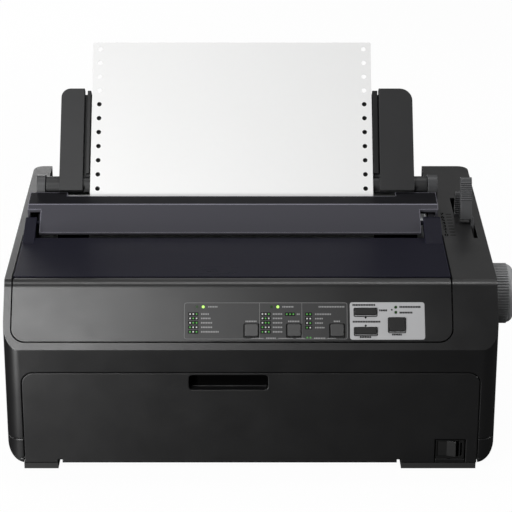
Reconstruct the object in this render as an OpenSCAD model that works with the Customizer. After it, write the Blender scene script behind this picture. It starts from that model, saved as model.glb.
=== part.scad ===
// Impact printer with a hinged see-through cover, a fold-back paper guide and a feed knob.
// X runs to the right of someone facing the printer, Y to the back, Z up from the desk.
// Sizes are in millimetres. Inside the modules, X = 0 is the middle of the case and
// Y = 0 its front face; in_frame() then moves the piece to the shared origin.

/* [Case] */
// Width of the case without the knob
body_w = 392; // [385:1:405]
// Depth of the case
body_depth = 350; // [340:1:370]
// Wall of the mouldings
wall = 2.6; // [2.2:0.1:3]
// Height of the case floor above the desk
floor_z = 5.4; // [5:0.1:8]
// Height of the seam between lower and upper case
seam_z = 25.9; // [24:0.1:30]
// Gap of the seam
seam_gap = 0.4; // [0.2:0.1:0.8]
// Height of the upright front face
front_h = 103.5; // [100:0.5:108]
// Angle of the control slope from level
slope_angle = 55.1; // [52:0.1:58]
// Length of the control slope
slope_len = 57.5; // [56:0.5:62]
// Rise of the top deck towards the back
deck_angle = 4.87; // [3:0.01:6]
// Depth of the high part of the case
high_depth = 270; // [266:1:280]
// Height of the low rear part where it meets the high part
rear_step_z = 142; // [136:1:144]
// Height of the low rear part at the back wall
rear_low_z = 118; // [112:1:122]
// Radius of the upright front corners
corner_r = 13; // [10:0.5:16]
// Radius of the upright rear corners
rear_corner_r = 9; // [6:0.5:12]
// Radius of the bottom side edges
bottom_r = 17; // [12:0.5:20]
// Width of the narrow rail left of the covers
left_rail_w = 6; // [5:0.5:8]
// Width of the deck right of the covers
right_deck_w = 36; // [34:0.5:38]
// How far the rails widen inwards behind the paper guide
rail_widening = 10; // [6:0.5:12]

/* [Front cover] */
// Width of the front cover
front_cover_w = 363; // [350:1:366]
// Height of its top edge above the desk
front_cover_top = 83.4; // [80:0.1:86]
// Gap round the front cover
cover_gap = 0.8; // [0.5:0.1:1.2]
// Radius of its top corners
front_cover_r = 9; // [5:0.5:12]
// Height of its hinge line above the desk
front_hinge_z = 9.5; // [9:0.1:10.5]
// Width of the finger recess
grip_w = 63; // [50:1:80]
// Height of the finger recess
grip_h = 12.9; // [11:0.1:14]
// Depth of the finger recess
grip_depth = 8; // [6:0.5:10]
// Middle of the finger recess from the middle of the case
grip_x = -17.7; // [-30:0.1:0]

/* [Control panel] */
// Thickness of the control panel moulding
panel_t = 3; // [2.5:0.1:3.5]
// Width of the band left between the front face and the panel
band = 6; // [5:0.5:8]
// Radius of the panel's lower corners
panel_r = 11; // [8:0.5:14]
// Width of the dark legend plate
legend_w = 129.7; // [120:0.1:131]
// Width of the light key plate
key_plate_w = 59.2; // [56:0.1:60]
// Height of both plates along the slope
plate_h = 30.3; // [29:0.1:32]
// Side of the square keys, along X
key_w = 10.3; // [8:0.1:11]
// Side of the square keys, along the slope
key_h = 9.5; // [8:0.1:10]
// Travel of the keys
key_travel = 1; // [0.5:0.1:1.2]
// Width of the bar keys
bar_key_w = 16.6; // [14:0.1:18]
// Height of the bar keys
bar_key_h = 5; // [4:0.1:6]

/* [Covers] */
// Thickness of the see-through cover and the rear cover
cover_t = 2.2; // [1.8:0.1:2.6]
// Front edge of the see-through cover behind the front face
lid_front = 37.5; // [37:0.1:40]
// Rear edge of the see-through cover behind the front face
lid_rear = 111.4; // [108:0.1:113]
// Distance of the lid's hinge line behind the front face
lid_hinge_y = 130; // [129:0.1:131]
// Height of the lid's hinge line
lid_hinge_z = 164.5; // [164:0.1:165]
// Radius of the lid's hinge pins
lid_pin_r = 2; // [1.8:0.1:2.2]
// Width of the paper slot in the rear cover
slot_w = 279; // [260:1:285]

/* [Paper path] */
// Width of the continuous paper
paper_w = 241.3; // [210:0.1:254]
// Middle of the paper from the middle of the case
paper_x = -16.4; // [-17:0.1:-15]
// Thickness of the sheet as modelled
paper_t = 0.3; // [0.2:0.05:0.3]
// Length of the sheet above the paper slot
paper_up = 138; // [100:1:160]
// Spacing of the sprocket holes along the edge
hole_pitch = 12.7; // [12:0.1:13]
// Distance between the two rows of sprocket holes
hole_rows = 228.6; // [200:0.1:230]
// Diameter of the sprocket holes
hole_d = 4; // [3.8:0.1:4.2]
// Lean of the paper from upright
paper_lean = 35.3; // [34:0.1:37]
// Radius of the platen
platen_r = 13; // [12:0.1:13.2]
// Length of the platen
platen_len = 270; // [262:1:272]
// Distance of the platen axis behind the front face
platen_y = 122.5; // [122:0.1:123]
// Height of the platen axis
platen_z = 104.4; // [104:0.1:105]
// Radius of the platen shaft
shaft_r = 4; // [3.5:0.1:4.5]
// Diameter of the feed knob
knob_d = 50.9; // [46:0.1:54]
// Distance from the case side to the knob's outer face
knob_reach = 25; // [22:0.5:28]
// Gap between the case side and the knob
knob_gap = 1.5; // [1:0.1:2.5]

/* [Paper guide] */
// Width of the paper guide
guide_w = 303; // [298:1:304]
// Height of the guide's middle panel along its slope
guide_h = 91.4; // [80:0.1:96]
// Width of the left wing
left_wing_w = 20; // [18:0.5:20]
// Width of the right wing
right_wing_w = 29; // [26:0.5:29]
// Distance of the guide's middle panel behind the paper
guide_gap = 4; // [3.8:0.1:4.5]
// Thickness of the guide panel
guide_t = 3; // [2.5:0.1:3.5]
// Radius of the guide's pivot pins
guide_pin_r = 3; // [2.5:0.1:3.2]

/* [Carriage] */
// Radius of the carriage shaft
rail_r = 6; // [5:0.1:6.5]
// Resting place of the print head from the middle of the case
head_x = -105; // [-108:1:-100]
// Radius of the belt pulleys
pulley_r = 8; // [7:0.1:9]
// Teeth of the platen gear
platen_teeth = 48; // [46:1:50]
// Teeth of the feed motor's pinion
pinion_teeth = 16; // [15:1:17]

/* [Fits] */
// Radial play of a shaft in its bore
run = 0.05; // [0.02:0.01:0.08]
// Play between a piece and its seat
seat = 0.3; // [0.2:0.05:0.35]

/* [Hidden] */
$fn = 48;

side_x = body_w / 2;
slope_y = slope_len * cos(slope_angle);
slope_top = front_h + slope_len * sin(slope_angle);
rail_in = -side_x + left_rail_w;
deck_in = side_x - right_deck_w;
open_w = deck_in - rail_in;
open_x = (deck_in + rail_in) / 2;
bulkhead = 6;
knob_face = side_x + knob_reach;

// Metal frame
frame_t = 1.5;
frame_left = rail_in + 14;
frame_right = deck_in - 8.1;
frame_front = 48;
frame_rear = 256;
frame_top = 149.7;
base_z = 24;
base_t = 1.5;

// Carriage, belt and print head
rail_y = 84;
rail_z = 96;
belt_y = 64;
belt_z = 76;
belt_h = 5;
belt_t = 1;
pulley_left = frame_left + 26;
pulley_right = frame_right - 17;
motor_half = 18;
motor_top = 54;
pulley_pin_r = 2.5;

// Tractors
tractor_y = 232;
tractor_z = 130;
tractor_shaft_r = 4;
tractor_w = 18;
rod_y = tractor_y + 11;
rod_z = tractor_z - 3;
rod_r = 3;

// Power switch: left and right sides of its recess, then its lower and upper edges
switch_room = [side_x - 47.7, side_x - 24.3, 8.6, 25];

// Levers on the right deck
release_pivot = [130.4, 125];
release_lean = 19.9;
thickness_pivot = [159, 125];
thickness_lean = 2;
lever_pin_r = 2.5;

// Paper guide pivot
guide_pivot = [173.5, 183.5];
slot_y = 160;
slot_z = 180;

// Keys: place across the panel and up the slope
key_places = [[0.4, 15.7], [34.1, 15.7], [68.1, 15.7]];
bar_places = [[90.8, 30.8], [90.8, 15.2]];
pause_place = [115.5, 20.3];
pause_size = [12, 10.5];
legend_x = -53;
key_plate_x = 78.4;
plate_s = 8.3;
led_places = [[-37.7, 34.9], [-42.6, 34.9], [21.4, 34.9], [16.5, 34.9], [114.8, 34.6], [114.8, 30.4]];

// Rear wall fittings
unit_left = frame_right - 79.9;
unit_right = frame_right - 3.9;
unit_front = 205;
unit_rear = body_depth - 24;
board_left = frame_left + 24;
board_right = unit_left - 20;
board_front = 190;
board_rear = body_depth - 12;
board_z = 16;
inlet_x = unit_right - 36;
inlet_z = 42;
port_x = board_left + 92;
usb_x = board_left + 40;

// Height of the deck plane at a distance behind the front face
function deck_z(y) = slope_top + tan(deck_angle) * (y - slope_y);
// Point s up the slope and d out of it, as [y, z]
function slope_at(s, d) = [s * cos(slope_angle) - d * sin(slope_angle),
    front_h + s * sin(slope_angle) + d * cos(slope_angle)];
// Corner moved inwards by d, where lines at two angles meet
function inset(p, a1, a2, d) = [p[0] + d * sin((a1 + a2) / 2) / cos((a1 - a2) / 2),
    p[1] - d * cos((a1 + a2) / 2) / cos((a1 - a2) / 2)];
// Point on an involute of base radius r
function involute(r, t) = [r * (cos(t) + t * PI / 180 * sin(t)), r * (sin(t) - t * PI / 180 * cos(t))];
function turn(p, a) = [p[0] * cos(a) - p[1] * sin(a), p[0] * sin(a) + p[1] * cos(a)];

// Moves a piece from the printer's front middle to the shared origin
module in_frame() {
    translate([-knob_reach / 2, -body_depth / 2, 0])
        children();
}

// Box between two opposite corners
module box(p, q) {
    translate(p)
        cube(q - p);
}

// Extrudes a shape drawn as [y, z] from x0 to x1
module along_x(x0, x1) {
    translate([x0, 0, 0])
        rotate([90, 0, 90])
            linear_extrude(x1 - x0)
                children();
}

// Round bar along X
module x_rod(x0, x1, y, z, r) {
    translate([x0, y, z])
        rotate([0, 90, 0])
            cylinder(h = x1 - x0, r = r);
}

// Rectangle with round corners, drawn from its middle
module round_rect(w, h, r) {
    square([w - 2 * r, h], center = true);
    square([w, h - 2 * r], center = true);
    for (sx = [-1, 1], sy = [-1, 1])
        translate([sx * (w / 2 - r), sy * (h / 2 - r)])
            circle(r);
}

// Places things on the control slope: x across, y up the slope, z out of it
module on_slope(x, s) {
    translate([x, slope_at(s, 0)[0], slope_at(s, 0)[1]])
        rotate([slope_angle, 0, 0])
            children();
}

// Places things on the paper's plane: y up the paper, z towards the front
module on_paper() {
    translate([0, slot_y, slot_z])
        rotate([90 - paper_lean, 0, 0])
            children();
}

// ---------- Case ----------

// Side outline of the high part, moved inwards by d
module high_outline(d) {
    rear = high_depth - d;
    polygon([[d, floor_z + d], inset([0, front_h], 90, slope_angle, d),
        inset([slope_y, slope_top], slope_angle, deck_angle, d),
        [rear, deck_z(rear) - d / cos(deck_angle)], [rear, floor_z + d]]);
}

// Side outline of the low part behind the high one
module low_outline(d) {
    polygon([[d, floor_z + d], [d, front_h - 10], [high_depth, rear_step_z - d],
        [body_depth - d, rear_low_z - d], [body_depth - d, floor_z + d]]);
}

// Plan of the case, moved inwards by d: large front corners, small rear ones
module plan(depth, d) {
    w = body_w - 2 * d;
    front_r = corner_r - d;
    back_r = rear_corner_r - d;
    translate([0, depth / 2])
        difference() {
            square([w, depth - 2 * d], center = true);
            for (sx = [-1, 1]) {
                corner(sx * w / 2, -(depth / 2 - d), front_r, -sx, 1);
                corner(sx * w / 2, depth / 2 - d, back_r, -sx, -1);
            }
        }
}

// What is cut off a square corner to leave it round
module corner(x, y, r, dx, dy) {
    cut = 1;
    difference() {
        translate([dx > 0 ? x - cut : x - r, dy > 0 ? y - cut : y - r])
            square(r + cut);
        translate([x + dx * r, y + dy * r])
            circle(r);
    }
}

// Front view of the case with its round bottom edges
module front_limit(d) {
    tall = 400;
    r = bottom_r - d;
    translate([0, body_depth + 50, floor_z + d])
        rotate([90, 0, 0])
            linear_extrude(body_depth + 100)
                translate([0, tall / 2])
                    round_rect(body_w - 2 * d, tall, r);
}

module case_form(d) {
    tall = 220;
    intersection() {
        front_limit(d);
        union() {
            intersection() {
                along_x(-side_x + d, side_x - d)
                    high_outline(d);
                linear_extrude(tall)
                    plan(high_depth, d);
            }
            intersection() {
                along_x(-side_x + d, side_x - d)
                    low_outline(d);
                linear_extrude(tall)
                    plan(body_depth, d);
            }
        }
    }
}

// Room for the front cover and for the sweep of its lower edge
module front_cover_room() {
    w = front_cover_w + 2 * cover_gap;
    top = front_cover_top + cover_gap;
    tall = 150;
    sweep = 4 + wall;
    difference() {
        union() {
            translate([0, wall + 0.6, top - tall / 2])
                rotate([90, 0, 0])
                    linear_extrude(20)
                        round_rect(w, tall, front_cover_r + cover_gap);
            box([-w / 2, -1, -1], [w / 2, sweep, front_hinge_z + 4]);
        }
        box([switch_room[0], -2, -2], [switch_room[1], sweep + 1, switch_room[2]]);
    }
}

// Opening that the control panel and the covers fill
module deck_opening() {
    widened = 200;
    deep = 20;
    high = 230;
    front = slope_at(band, deep);
    difference() {
        along_x(rail_in, deck_in)
            polygon([slope_at(band, -deep), front, [front[0], high], [widened, high],
                [widened, front_h], [slope_y - 8, front_h]]);
        on_slope(0, 0)
            translate([0, 0, -deep - 5])
                linear_extrude(2 * deep + 10) {
                    corner(rail_in, band, panel_r + 0.6, 1, 1);
                    corner(deck_in, band, panel_r + 0.6, -1, 1);
                }
    }
    box([rail_in + rail_widening, widened - 1, rear_step_z - 20],
        [deck_in - rail_widening / 2, high_depth + 0.1, 230]);
}

// Holes for the lever stems in the right deck
module lever_slots() {
    box([deck_in + 25.6, 112, 150], [deck_in + 29.2, 185, 180]);
    box([deck_in + 13.5, 154, 150], [deck_in + 19, 197, 180]);
}

module rear_holes() {
    y0 = body_depth - 10;
    box([inlet_x - 13.7, y0, inlet_z - 10.2], [inlet_x + 13.7, y0 + 20, inlet_z + 10.2]);
    box([port_x - 32.3, y0, board_z + 1.3], [port_x + 32.3, y0 + 20, board_z + 19]);
    box([usb_x - 6.3, y0, board_z + 1.3], [usb_x + 6.3, y0 + 20, board_z + 13]);
}

module case_shell() {
    w = front_cover_w + 12;
    difference() {
        intersection() {
            case_form(0);
            union() {
                difference() {
                    case_form(0);
                    case_form(wall);
                }
                box([-w / 2, wall - 1, floor_z], [w / 2, bulkhead, front_cover_top + cover_gap + 3]);
                box([-w / 2, wall - 1, floor_z], [w / 2, bulkhead + 3.2, front_hinge_z + 6.6]);
            }
        }
        front_cover_room();
        rear_holes();
        front_slot_cut();
        grip_room();
        switch_room();
        for (sx = [-1, 1])
            x_rod(sx * front_cover_w / 2 - 3, sx * front_cover_w / 2 + 3, wall / 2,
                front_hinge_z, 1 + run);
    }
}

// Slot behind the front cover where cut sheets go in
module front_slot_cut() {
    box([paper_x - paper_w / 2 - 4, -1, 40], [paper_x + paper_w / 2 + 4, 12, 58]);
}

module grip_room() {
    box([grip_x - grip_w / 2 - 4, 0, front_cover_top - grip_h - 8],
        [grip_x + grip_w / 2 + 4, 12, front_cover_top + cover_gap]);
}

module switch_room() {
    box([switch_room[0], -1, switch_room[2]], [switch_room[1], 30, switch_room[3]]);
}

boss_x = [frame_left + 12, frame_right - 12];
boss_y = [62, 168];
boss_r = 5;

module lower_case() color("#26262a") in_frame() {
    difference() {
        union() {
            intersection() {
                case_shell();
                box([-side_x - 1, -5, 0], [side_x + 1, body_depth + 1, seam_z]);
            }
            for (x = boss_x, y = boss_y)
                translate([x, y, floor_z + wall])
                    cylinder(h = base_z - floor_z - wall, r = boss_r);
            for (x = [board_left + 12, board_right - 12], y = [board_front + 10, board_rear - 12])
                translate([x, y, floor_z + wall])
                    cylinder(h = board_z - floor_z - wall, r = 4);
            for (x = [unit_left + 8, unit_right - 8], y = [unit_front + 10, unit_rear - 6])
                translate([x, y, floor_z + wall])
                    cylinder(h = 4, r = 5);
        }
        for (x = boss_x, y = boss_y)
            translate([x, y, base_z - 10])
                cylinder(h = 12, r = 1.6);
    }
}

module upper_case() color("#2a2a2e") in_frame() {
    difference() {
        union() {
            difference() {
                intersection() {
                    case_shell();
                    box([-side_x - 1, -5, seam_z + seam_gap], [side_x + 1, body_depth + 1, 230]);
                }
                deck_opening();
            }
            rail_flanges();
        }
        lever_slots();
        x_rod(side_x - wall - 1, side_x + 1, platen_y, platen_z, 8);
    }
}

// Upright walls under the inner edges of the rails
module rail_flanges() {
    depth = 14;
    flange = 2.2;
    y0 = slope_y + 6;
    y1 = 200;
    left = rail_in - flange;
    right = deck_in + flange;
    rear = high_depth - wall / 2;
    left_rear = rail_in + rail_widening;
    right_rear = deck_in - rail_widening / 2;
    along_x(left, rail_in)
        flange_outline(y0, y1 + 1, depth);
    along_x(deck_in, right)
        flange_outline(y0, y1 + 1, depth);
    along_x(left_rear - flange, left_rear)
        flange_outline(y1, rear, depth);
    along_x(right_rear, right_rear + flange)
        flange_outline(y1, rear, depth);
    box([left, y1, deck_z(y1) - depth], [left_rear, y1 + flange, deck_z(y1) - wall / 2]);
    box([right_rear, y1, deck_z(y1) - depth], [right, y1 + flange, deck_z(y1) - wall / 2]);
}

module flange_outline(y0, y1, depth) {
    polygon([[y0, deck_z(y0) - depth], [y1, deck_z(y1) - depth],
        [y1, deck_z(y1) - wall / 2], [y0, deck_z(y0) - wall / 2]]);
}

// Feet: the front pair is wide and shows under the front cover
module feet() color("#1b1b1d") in_frame() {
    for (x = [[-side_x + 13.6, -side_x + 41], [side_x - 75, side_x - 15]]) {
        box([x[0], 0.5, 0], [x[1], 26, floor_z - 0.5]);
        box([x[0] + 8, 10, 0], [x[1] - 8, 26, floor_z]);
    }
    for (sx = [-1, 1])
        translate([sx * (side_x - 36), body_depth - 36, 0])
            cylinder(h = floor_z, r = 10);
}

// ---------- Front cover ----------

module front_cover() color("#242428") in_frame() {
    r = wall / 2;
    difference() {
        union() {
            intersection() {
                box([-front_cover_w / 2, 0, floor_z], [front_cover_w / 2, wall, front_cover_top]);
                translate([0, wall + 1, front_cover_top - 100])
                    rotate([90, 0, 0])
                        linear_extrude(wall + 2)
                            round_rect(front_cover_w, 200, front_cover_r);
            }
            x_rod(-front_cover_w / 2 - 2.4, front_cover_w / 2 + 2.4, r, front_hinge_z, 1);
            grip_cup();
        }
        grip_hollow();
        box([switch_room[0] - cover_gap, -1, 0], [switch_room[1] + cover_gap, wall + 1, switch_room[3] + cover_gap]);
        for (x = [-side_x + 41, side_x - 78.5])
            box([x, -1, 0], [x + 3.5, wall + 1, front_hinge_z - 1.4]);
    }
}

grip_top = front_cover_top - 1.4;

module grip_cup() {
    w = grip_w + 4;
    box([grip_x - w / 2, wall - 0.1, grip_top - grip_h - 2],
        [grip_x + w / 2, grip_depth + 1.8, front_cover_top - 0.6]);
}

module grip_hollow() {
    translate([grip_x, grip_depth, grip_top - grip_h / 2])
        rotate([90, 0, 0])
            linear_extrude(grip_depth + 1)
                round_rect(grip_w, grip_h, 3);
}

// ---------- Control panel ----------

// Cross-section of the panel with the ledge under the see-through cover
module panel_outline() {
    ledge = [slope_y + 2.7, slope_y + 14.1];
    polygon([slope_at(band + 0.6, 0), slope_at(slope_len, 0), [slope_y + 2.1, slope_top + 0.2],
        [ledge[0], lid_under(ledge[0]) - seat], [ledge[1], lid_under(ledge[1]) - seat],
        [ledge[1], lid_under(ledge[1]) - seat - panel_t], slope_at(slope_len - 4.1, -panel_t),
        slope_at(band + 0.6, -panel_t)]);
}

module control_panel() color("#222226") in_frame() {
    reach = 150;
    difference() {
        union() {
            intersection() {
                along_x(rail_in + 0.6, deck_in - 0.6)
                    panel_outline();
                on_slope(open_x, band + 0.6 + reach / 2)
                    translate([0, 0, -40])
                        linear_extrude(80)
                            round_rect(open_w - 1.2, reach, panel_r);
            }
            on_slope(open_x, 0)
                box([-open_w / 2 + 12, 1.6, -wall - seat - 2.2], [open_w / 2 - 12, 8.9, -wall - seat]);
        }
        on_slope(0, 0) {
            plate_pocket(legend_x, legend_w);
            plate_pocket(key_plate_x, key_plate_w);
            key_holes(seat);
            light_holes();
        }
    }
}

plate_sink = 0.6;

module plate_pocket(x, w) {
    translate([x + w / 2, plate_s + plate_h / 2, -plate_sink])
        linear_extrude(5)
            round_rect(w + 0.3, plate_h + 0.3, 2.15);
}

// Holes for all keys, wider than the keys by the play on each side
module key_holes(play) {
    for (k = key_places)
        key_hole(k, [key_w, key_h], play);
    for (k = bar_places)
        key_hole(k, [bar_key_w, bar_key_h], play);
    key_hole(pause_place, pause_size, play);
}

module key_hole(place, size, play) {
    translate([place[0], place[1], -20])
        linear_extrude(40)
            square([size[0] + 2 * play, size[1] + 2 * play], center = true);
}

module light_holes() {
    for (p = led_places)
        translate([p[0], p[1], -20])
            cylinder(h = 40, r = light_r + 0.1, $fn = 24);
}

light_r = 1.1;

module plate(x, w) {
    difference() {
        translate([x + w / 2, plate_s + plate_h / 2, -plate_sink])
            linear_extrude(plate_sink + 0.2)
                round_rect(w, plate_h, 2);
        key_holes(seat);
        light_holes();
    }
}

module legend_plate() color("#1a1a1d") in_frame() on_slope(0, 0)
    plate(legend_x, legend_w);

module key_plate() color("#a2a4a8") in_frame() on_slope(0, 0)
    plate(key_plate_x, key_plate_w);

module indicator_lights() color("#7fd068") in_frame() on_slope(0, 0)
    for (p = led_places)
        translate([p[0], p[1], -board_drop])
            cylinder(h = board_drop + 0.35, r = light_r, $fn = 24);

// Depth of the panel board and of its switches under the panel face
board_drop = 12.5;
switch_drop = 8.4;
key_stand = 1.6;
key_flange = 1.5;

// Key cap with the flange that keeps it in the panel
module key_cap(place, size) {
    translate([place[0], place[1], 0]) {
        translate([0, 0, -switch_drop + key_travel + seat])
            linear_extrude(switch_drop - key_travel - seat + key_stand)
                round_rect(size[0], size[1], 1);
        translate([0, 0, -panel_t - seat - 1.4])
            linear_extrude(1.4)
                square([size[0] + 2 * key_flange, size[1] + 2 * key_flange], center = true);
    }
}

module key_left() color("#3a3b3f") in_frame() on_slope(0, 0)
    key_cap(key_places[0], [key_w, key_h]);

module key_middle() color("#3a3b3f") in_frame() on_slope(0, 0)
    key_cap(key_places[1], [key_w, key_h]);

module key_right() color("#3a3b3f") in_frame() on_slope(0, 0)
    key_cap(key_places[2], [key_w, key_h]);

module key_load() color("#54565b") in_frame() on_slope(0, 0)
    key_cap(bar_places[0], [bar_key_w, bar_key_h]);

module key_feed() color("#54565b") in_frame() on_slope(0, 0)
    key_cap(bar_places[1], [bar_key_w, bar_key_h]);

module key_pause() color("#54565b") in_frame() on_slope(0, 0)
    key_cap(pause_place, pause_size);

// Circuit board under the panel with one switch under each key
module panel_board() color("#2f6b3c") in_frame() on_slope(0, 0) {
    x0 = legend_x - 6;
    x1 = key_plate_x + key_plate_w + 4;
    translate([x0, plate_s - 1, -board_drop - 1.6])
        cube([x1 - x0, plate_h + 2, 1.6]);
    for (p = concat(key_places, bar_places, [pause_place]))
        translate([p[0] - 3, p[1] - 2.2, -board_drop])
            cube([6, 4.4, board_drop - switch_drop]);
    for (x = [x0 + 3, x1 - 3])
        translate([x, plate_s + plate_h - 1, -board_drop])
            cylinder(h = board_drop - panel_t, r = 2.2);
}

// ---------- Covers ----------

function lid_under(y) = deck_z(y) + 0.3 - cover_t / cos(deck_angle);

left_arm = [rail_in + 1.3, rail_in + 10.4];
right_arm = [deck_in - 15.2, deck_in - 1.1];
left_notch = rail_in + 13.2;
right_notch = deck_in - 17.6;

module printer_cover() color("#3a3b44", 0.6) in_frame() {
    skirt = 6;
    side = 0.6;
    along_x(rail_in + side, deck_in - side)
        lid_outline(lid_front, lid_rear, 0);
    for (x = [rail_in + side, deck_in - side - cover_t])
        along_x(x, x + cover_t)
            lid_outline(slope_y + 18, lid_rear, skirt);
    for (arm = [left_arm, right_arm])
        along_x(arm[0], arm[1])
            arm_outline();
    x_rod(left_arm[1] - 1, left_notch + cover_t, lid_hinge_y, lid_hinge_z, lid_pin_r);
    x_rod(right_notch - cover_t, right_arm[0] + 1, lid_hinge_y, lid_hinge_z, lid_pin_r);
}

module lid_outline(y0, y1, skirt) {
    polygon([[y0, deck_z(y0) + 0.3], [y1, deck_z(y1) + 0.3],
        [y1, lid_under(y1) - skirt], [y0, lid_under(y0) - skirt]]);
}

// Arm from the lid's rear edge up to its hinge
module arm_outline() {
    knuckle_r = 5;
    y0 = lid_rear - 12;
    translate([lid_hinge_y, lid_hinge_z])
        circle(knuckle_r);
    polygon([[y0, deck_z(y0)], [lid_rear - 4, lid_under(lid_rear) - 2],
        [lid_hinge_y + 1.6, lid_hinge_z - knuckle_r + 0.3], [lid_hinge_y - 2, lid_hinge_z + knuckle_r - 0.45]]);
}

cover_front = 118.2;
ridge = [141, 177.2];
cover_back = [163.4, 180.6];

// Raised cover over the platen, with the paper slot in its rear edge
module rear_cover() color("#4a4b52") in_frame() {
    x0 = rail_in + 2.1;
    x1 = deck_in - 2.2;
    edge = deck_z(cover_front) + 2.2;
    notch_y = 137;
    difference() {
        union() {
            difference() {
                along_x(x0, x1)
                    polygon([[cover_front, edge - cover_t], [cover_front, edge], ridge, cover_back,
                        [cover_back[0], deck_z(cover_back[0]) + 0.6],
                        [cover_front, deck_z(cover_front) - 0.4]]);
                along_x(x0 + cover_t, x1 - cover_t)
                    polygon([[cover_front - 1, edge - cover_t - 0.6], [ridge[0] + 0.7, ridge[1] - cover_t],
                        [cover_back[0] - cover_t, cover_back[1] - cover_t - 0.5],
                        [cover_back[0] - cover_t, 150], [cover_front - 1, 150]]);
            }
            for (x = [left_notch, right_notch - cover_t])
                along_x(x, x + cover_t)
                    polygon([[cover_front, edge - cover_t], [cover_front, edge], ridge,
                        [ridge[0], deck_z(ridge[0]) + 0.6]]);
            for (x = [frame_left - 3.2, frame_right - 1.8])
                box([x, 141, frame_top + seat], [x + 5, 155, ridge[1] - 1]);
        }
        box([x0 - 1, cover_front - 1, 140], [left_notch, notch_y, 200]);
        box([right_notch, cover_front - 1, 140], [x1 + 1, notch_y, 200]);
        box([paper_x - slot_w / 2, slot_y - 3.6, 150], [paper_x + slot_w / 2, cover_back[0] + 1, 200]);
        x_rod(left_notch - 1, left_notch + cover_t + 1, lid_hinge_y, lid_hinge_z, lid_pin_r + run);
        x_rod(right_notch - cover_t - 1, right_notch + 1, lid_hinge_y, lid_hinge_z, lid_pin_r + run);
    }
}

// ---------- Paper and paper guide ----------

paper_down = (slot_y - platen_y) * sin(paper_lean) + (slot_z - platen_z) * cos(paper_lean);
wrap_r = platen_r + 0.2;
tail_angle = 35;
tail_len = 92;

// Point of the sheet's side view, at a distance r from the platen axis, turn a, and l along it
function sheet_at(r, a, l) = [platen_y + r * cos(a) + l * sin(a), platen_z + r * sin(a) - l * cos(a)];

// Side view of the sheet: up the guide, round the platen, back towards the tractors
module paper_outline() {
    steps = 24;
    top = 180 - paper_lean;
    tail = 270 + tail_angle;
    outer = wrap_r + paper_t;
    polygon(concat([sheet_at(outer, top, paper_down + paper_up)],
        [for (i = [0:steps]) sheet_at(outer, top + (tail - top) * i / steps, 0)],
        [sheet_at(outer, tail, -tail_len), sheet_at(wrap_r, tail, -tail_len)],
        [for (i = [steps:-1:0]) sheet_at(wrap_r, top + (tail - top) * i / steps, 0)],
        [sheet_at(wrap_r, top, paper_down + paper_up)]));
}

module paper() color("#f2f2f0") in_frame() {
    rows = floor((paper_down + paper_up) / hole_pitch);
    difference() {
        along_x(paper_x - paper_w / 2, paper_x + paper_w / 2)
            paper_outline();
        for (sx = [-1, 1], i = [0:rows - 1])
            on_paper()
                translate([paper_x + sx * hole_rows / 2, paper_up - 6 - i * hole_pitch, -6])
                    cylinder(h = 12, d = hole_d, $fn = 24);
    }
}

guide_x = -12;
guide_left = guide_x - guide_w / 2;
guide_right = guide_x + guide_w / 2;
guide_foot = 3.5;
guide_beam_r = 8;

// Fold-back guide behind the paper, with a raised wing at each side
module paper_guide() color("#303136") in_frame() {
    difference() {
        on_paper() {
            box([guide_left + 1, guide_foot, -guide_gap - guide_t], [guide_right - 1, guide_h, -guide_gap]);
            wing(guide_left, 1, left_wing_w, 8);
            wing(guide_right, -1, right_wing_w, 11);
            for (x = [guide_left, guide_right - 6])
                box([x, guide_foot, -guide_gap - guide_t - 5], [x + 6, guide_h - 6, -guide_gap - guide_t + 0.1]);
        }
        for (x = [-90, -50, -10, 30, 70])
            on_paper()
                translate([x, guide_h - 14, -30])
                    cylinder(h = 60, r = 2.2, $fn = 24);
    }
    x_rod(frame_left + 1, frame_right - 1.2, guide_pivot[0], guide_pivot[1], guide_beam_r);
    x_rod(frame_left - 3, frame_left + 2, guide_pivot[0], guide_pivot[1], guide_pin_r);
    x_rod(frame_right - 2, frame_right + 5, guide_pivot[0], guide_pivot[1], guide_pin_r);
}

// One wing from its outer edge x inwards, with its outer top corner rounded
module wing(x, inward, w, r) {
    top = guide_h + 4;
    forward = 1;
    translate([inward > 0 ? x : x - w, guide_foot, -guide_gap - guide_t])
        linear_extrude(guide_gap + guide_t + forward)
            difference() {
                square([w, top - guide_foot]);
                corner(inward > 0 ? 0 : w, top - guide_foot, min(r, w - 1), inward, -1);
            }
}

// Thin raised lip that a sheet's edge runs along; it hooks over the guide's top edge
module edge_guide(x, w) {
    on_paper() {
        box([x, 19, -guide_gap + seat], [x + w, guide_h + 2.5, -0.5]);
        box([x, guide_h + seat, -guide_gap - guide_t - 2.5], [x + w, guide_h + 2.5, -0.5]);
        box([x, guide_h - 10, -guide_gap - guide_t - 2.5], [x + w, guide_h + 2.5, -guide_gap - guide_t - seat]);
    }
}

module edge_guide_left() color("#1e1e21") in_frame()
    edge_guide(paper_x - paper_w / 2 - 4, 3);

module edge_guide_right() color("#1e1e21") in_frame()
    edge_guide(paper_x + paper_w / 2 + 0.8, 4.4);

// Posts that carry the guide's pivots
module guide_posts() color("#6d7078") in_frame() {
    difference() {
        for (x = [[frame_left - 6.7, frame_left + 0.4], [frame_right - 0.7, deck_in - 0.5]])
            along_x(x[0], x[1]) {
                translate([164.2, frame_top + seat])
                    square([18.6, guide_pivot[1] - frame_top - seat]);
                translate(guide_pivot)
                    circle(9.2);
                translate([164.3, guide_pivot[1] - 6])
                    square([18.4, 6]);
            }
        box([-side_x, 150, 140], [side_x, 164.2, 200]);
        x_rod(frame_left - 3.4, frame_left + 1, guide_pivot[0], guide_pivot[1], guide_pin_r + run);
        x_rod(frame_right - 1, frame_right + 5.4, guide_pivot[0], guide_pivot[1], guide_pin_r + run);
    }
}

// ---------- Levers ----------

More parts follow.
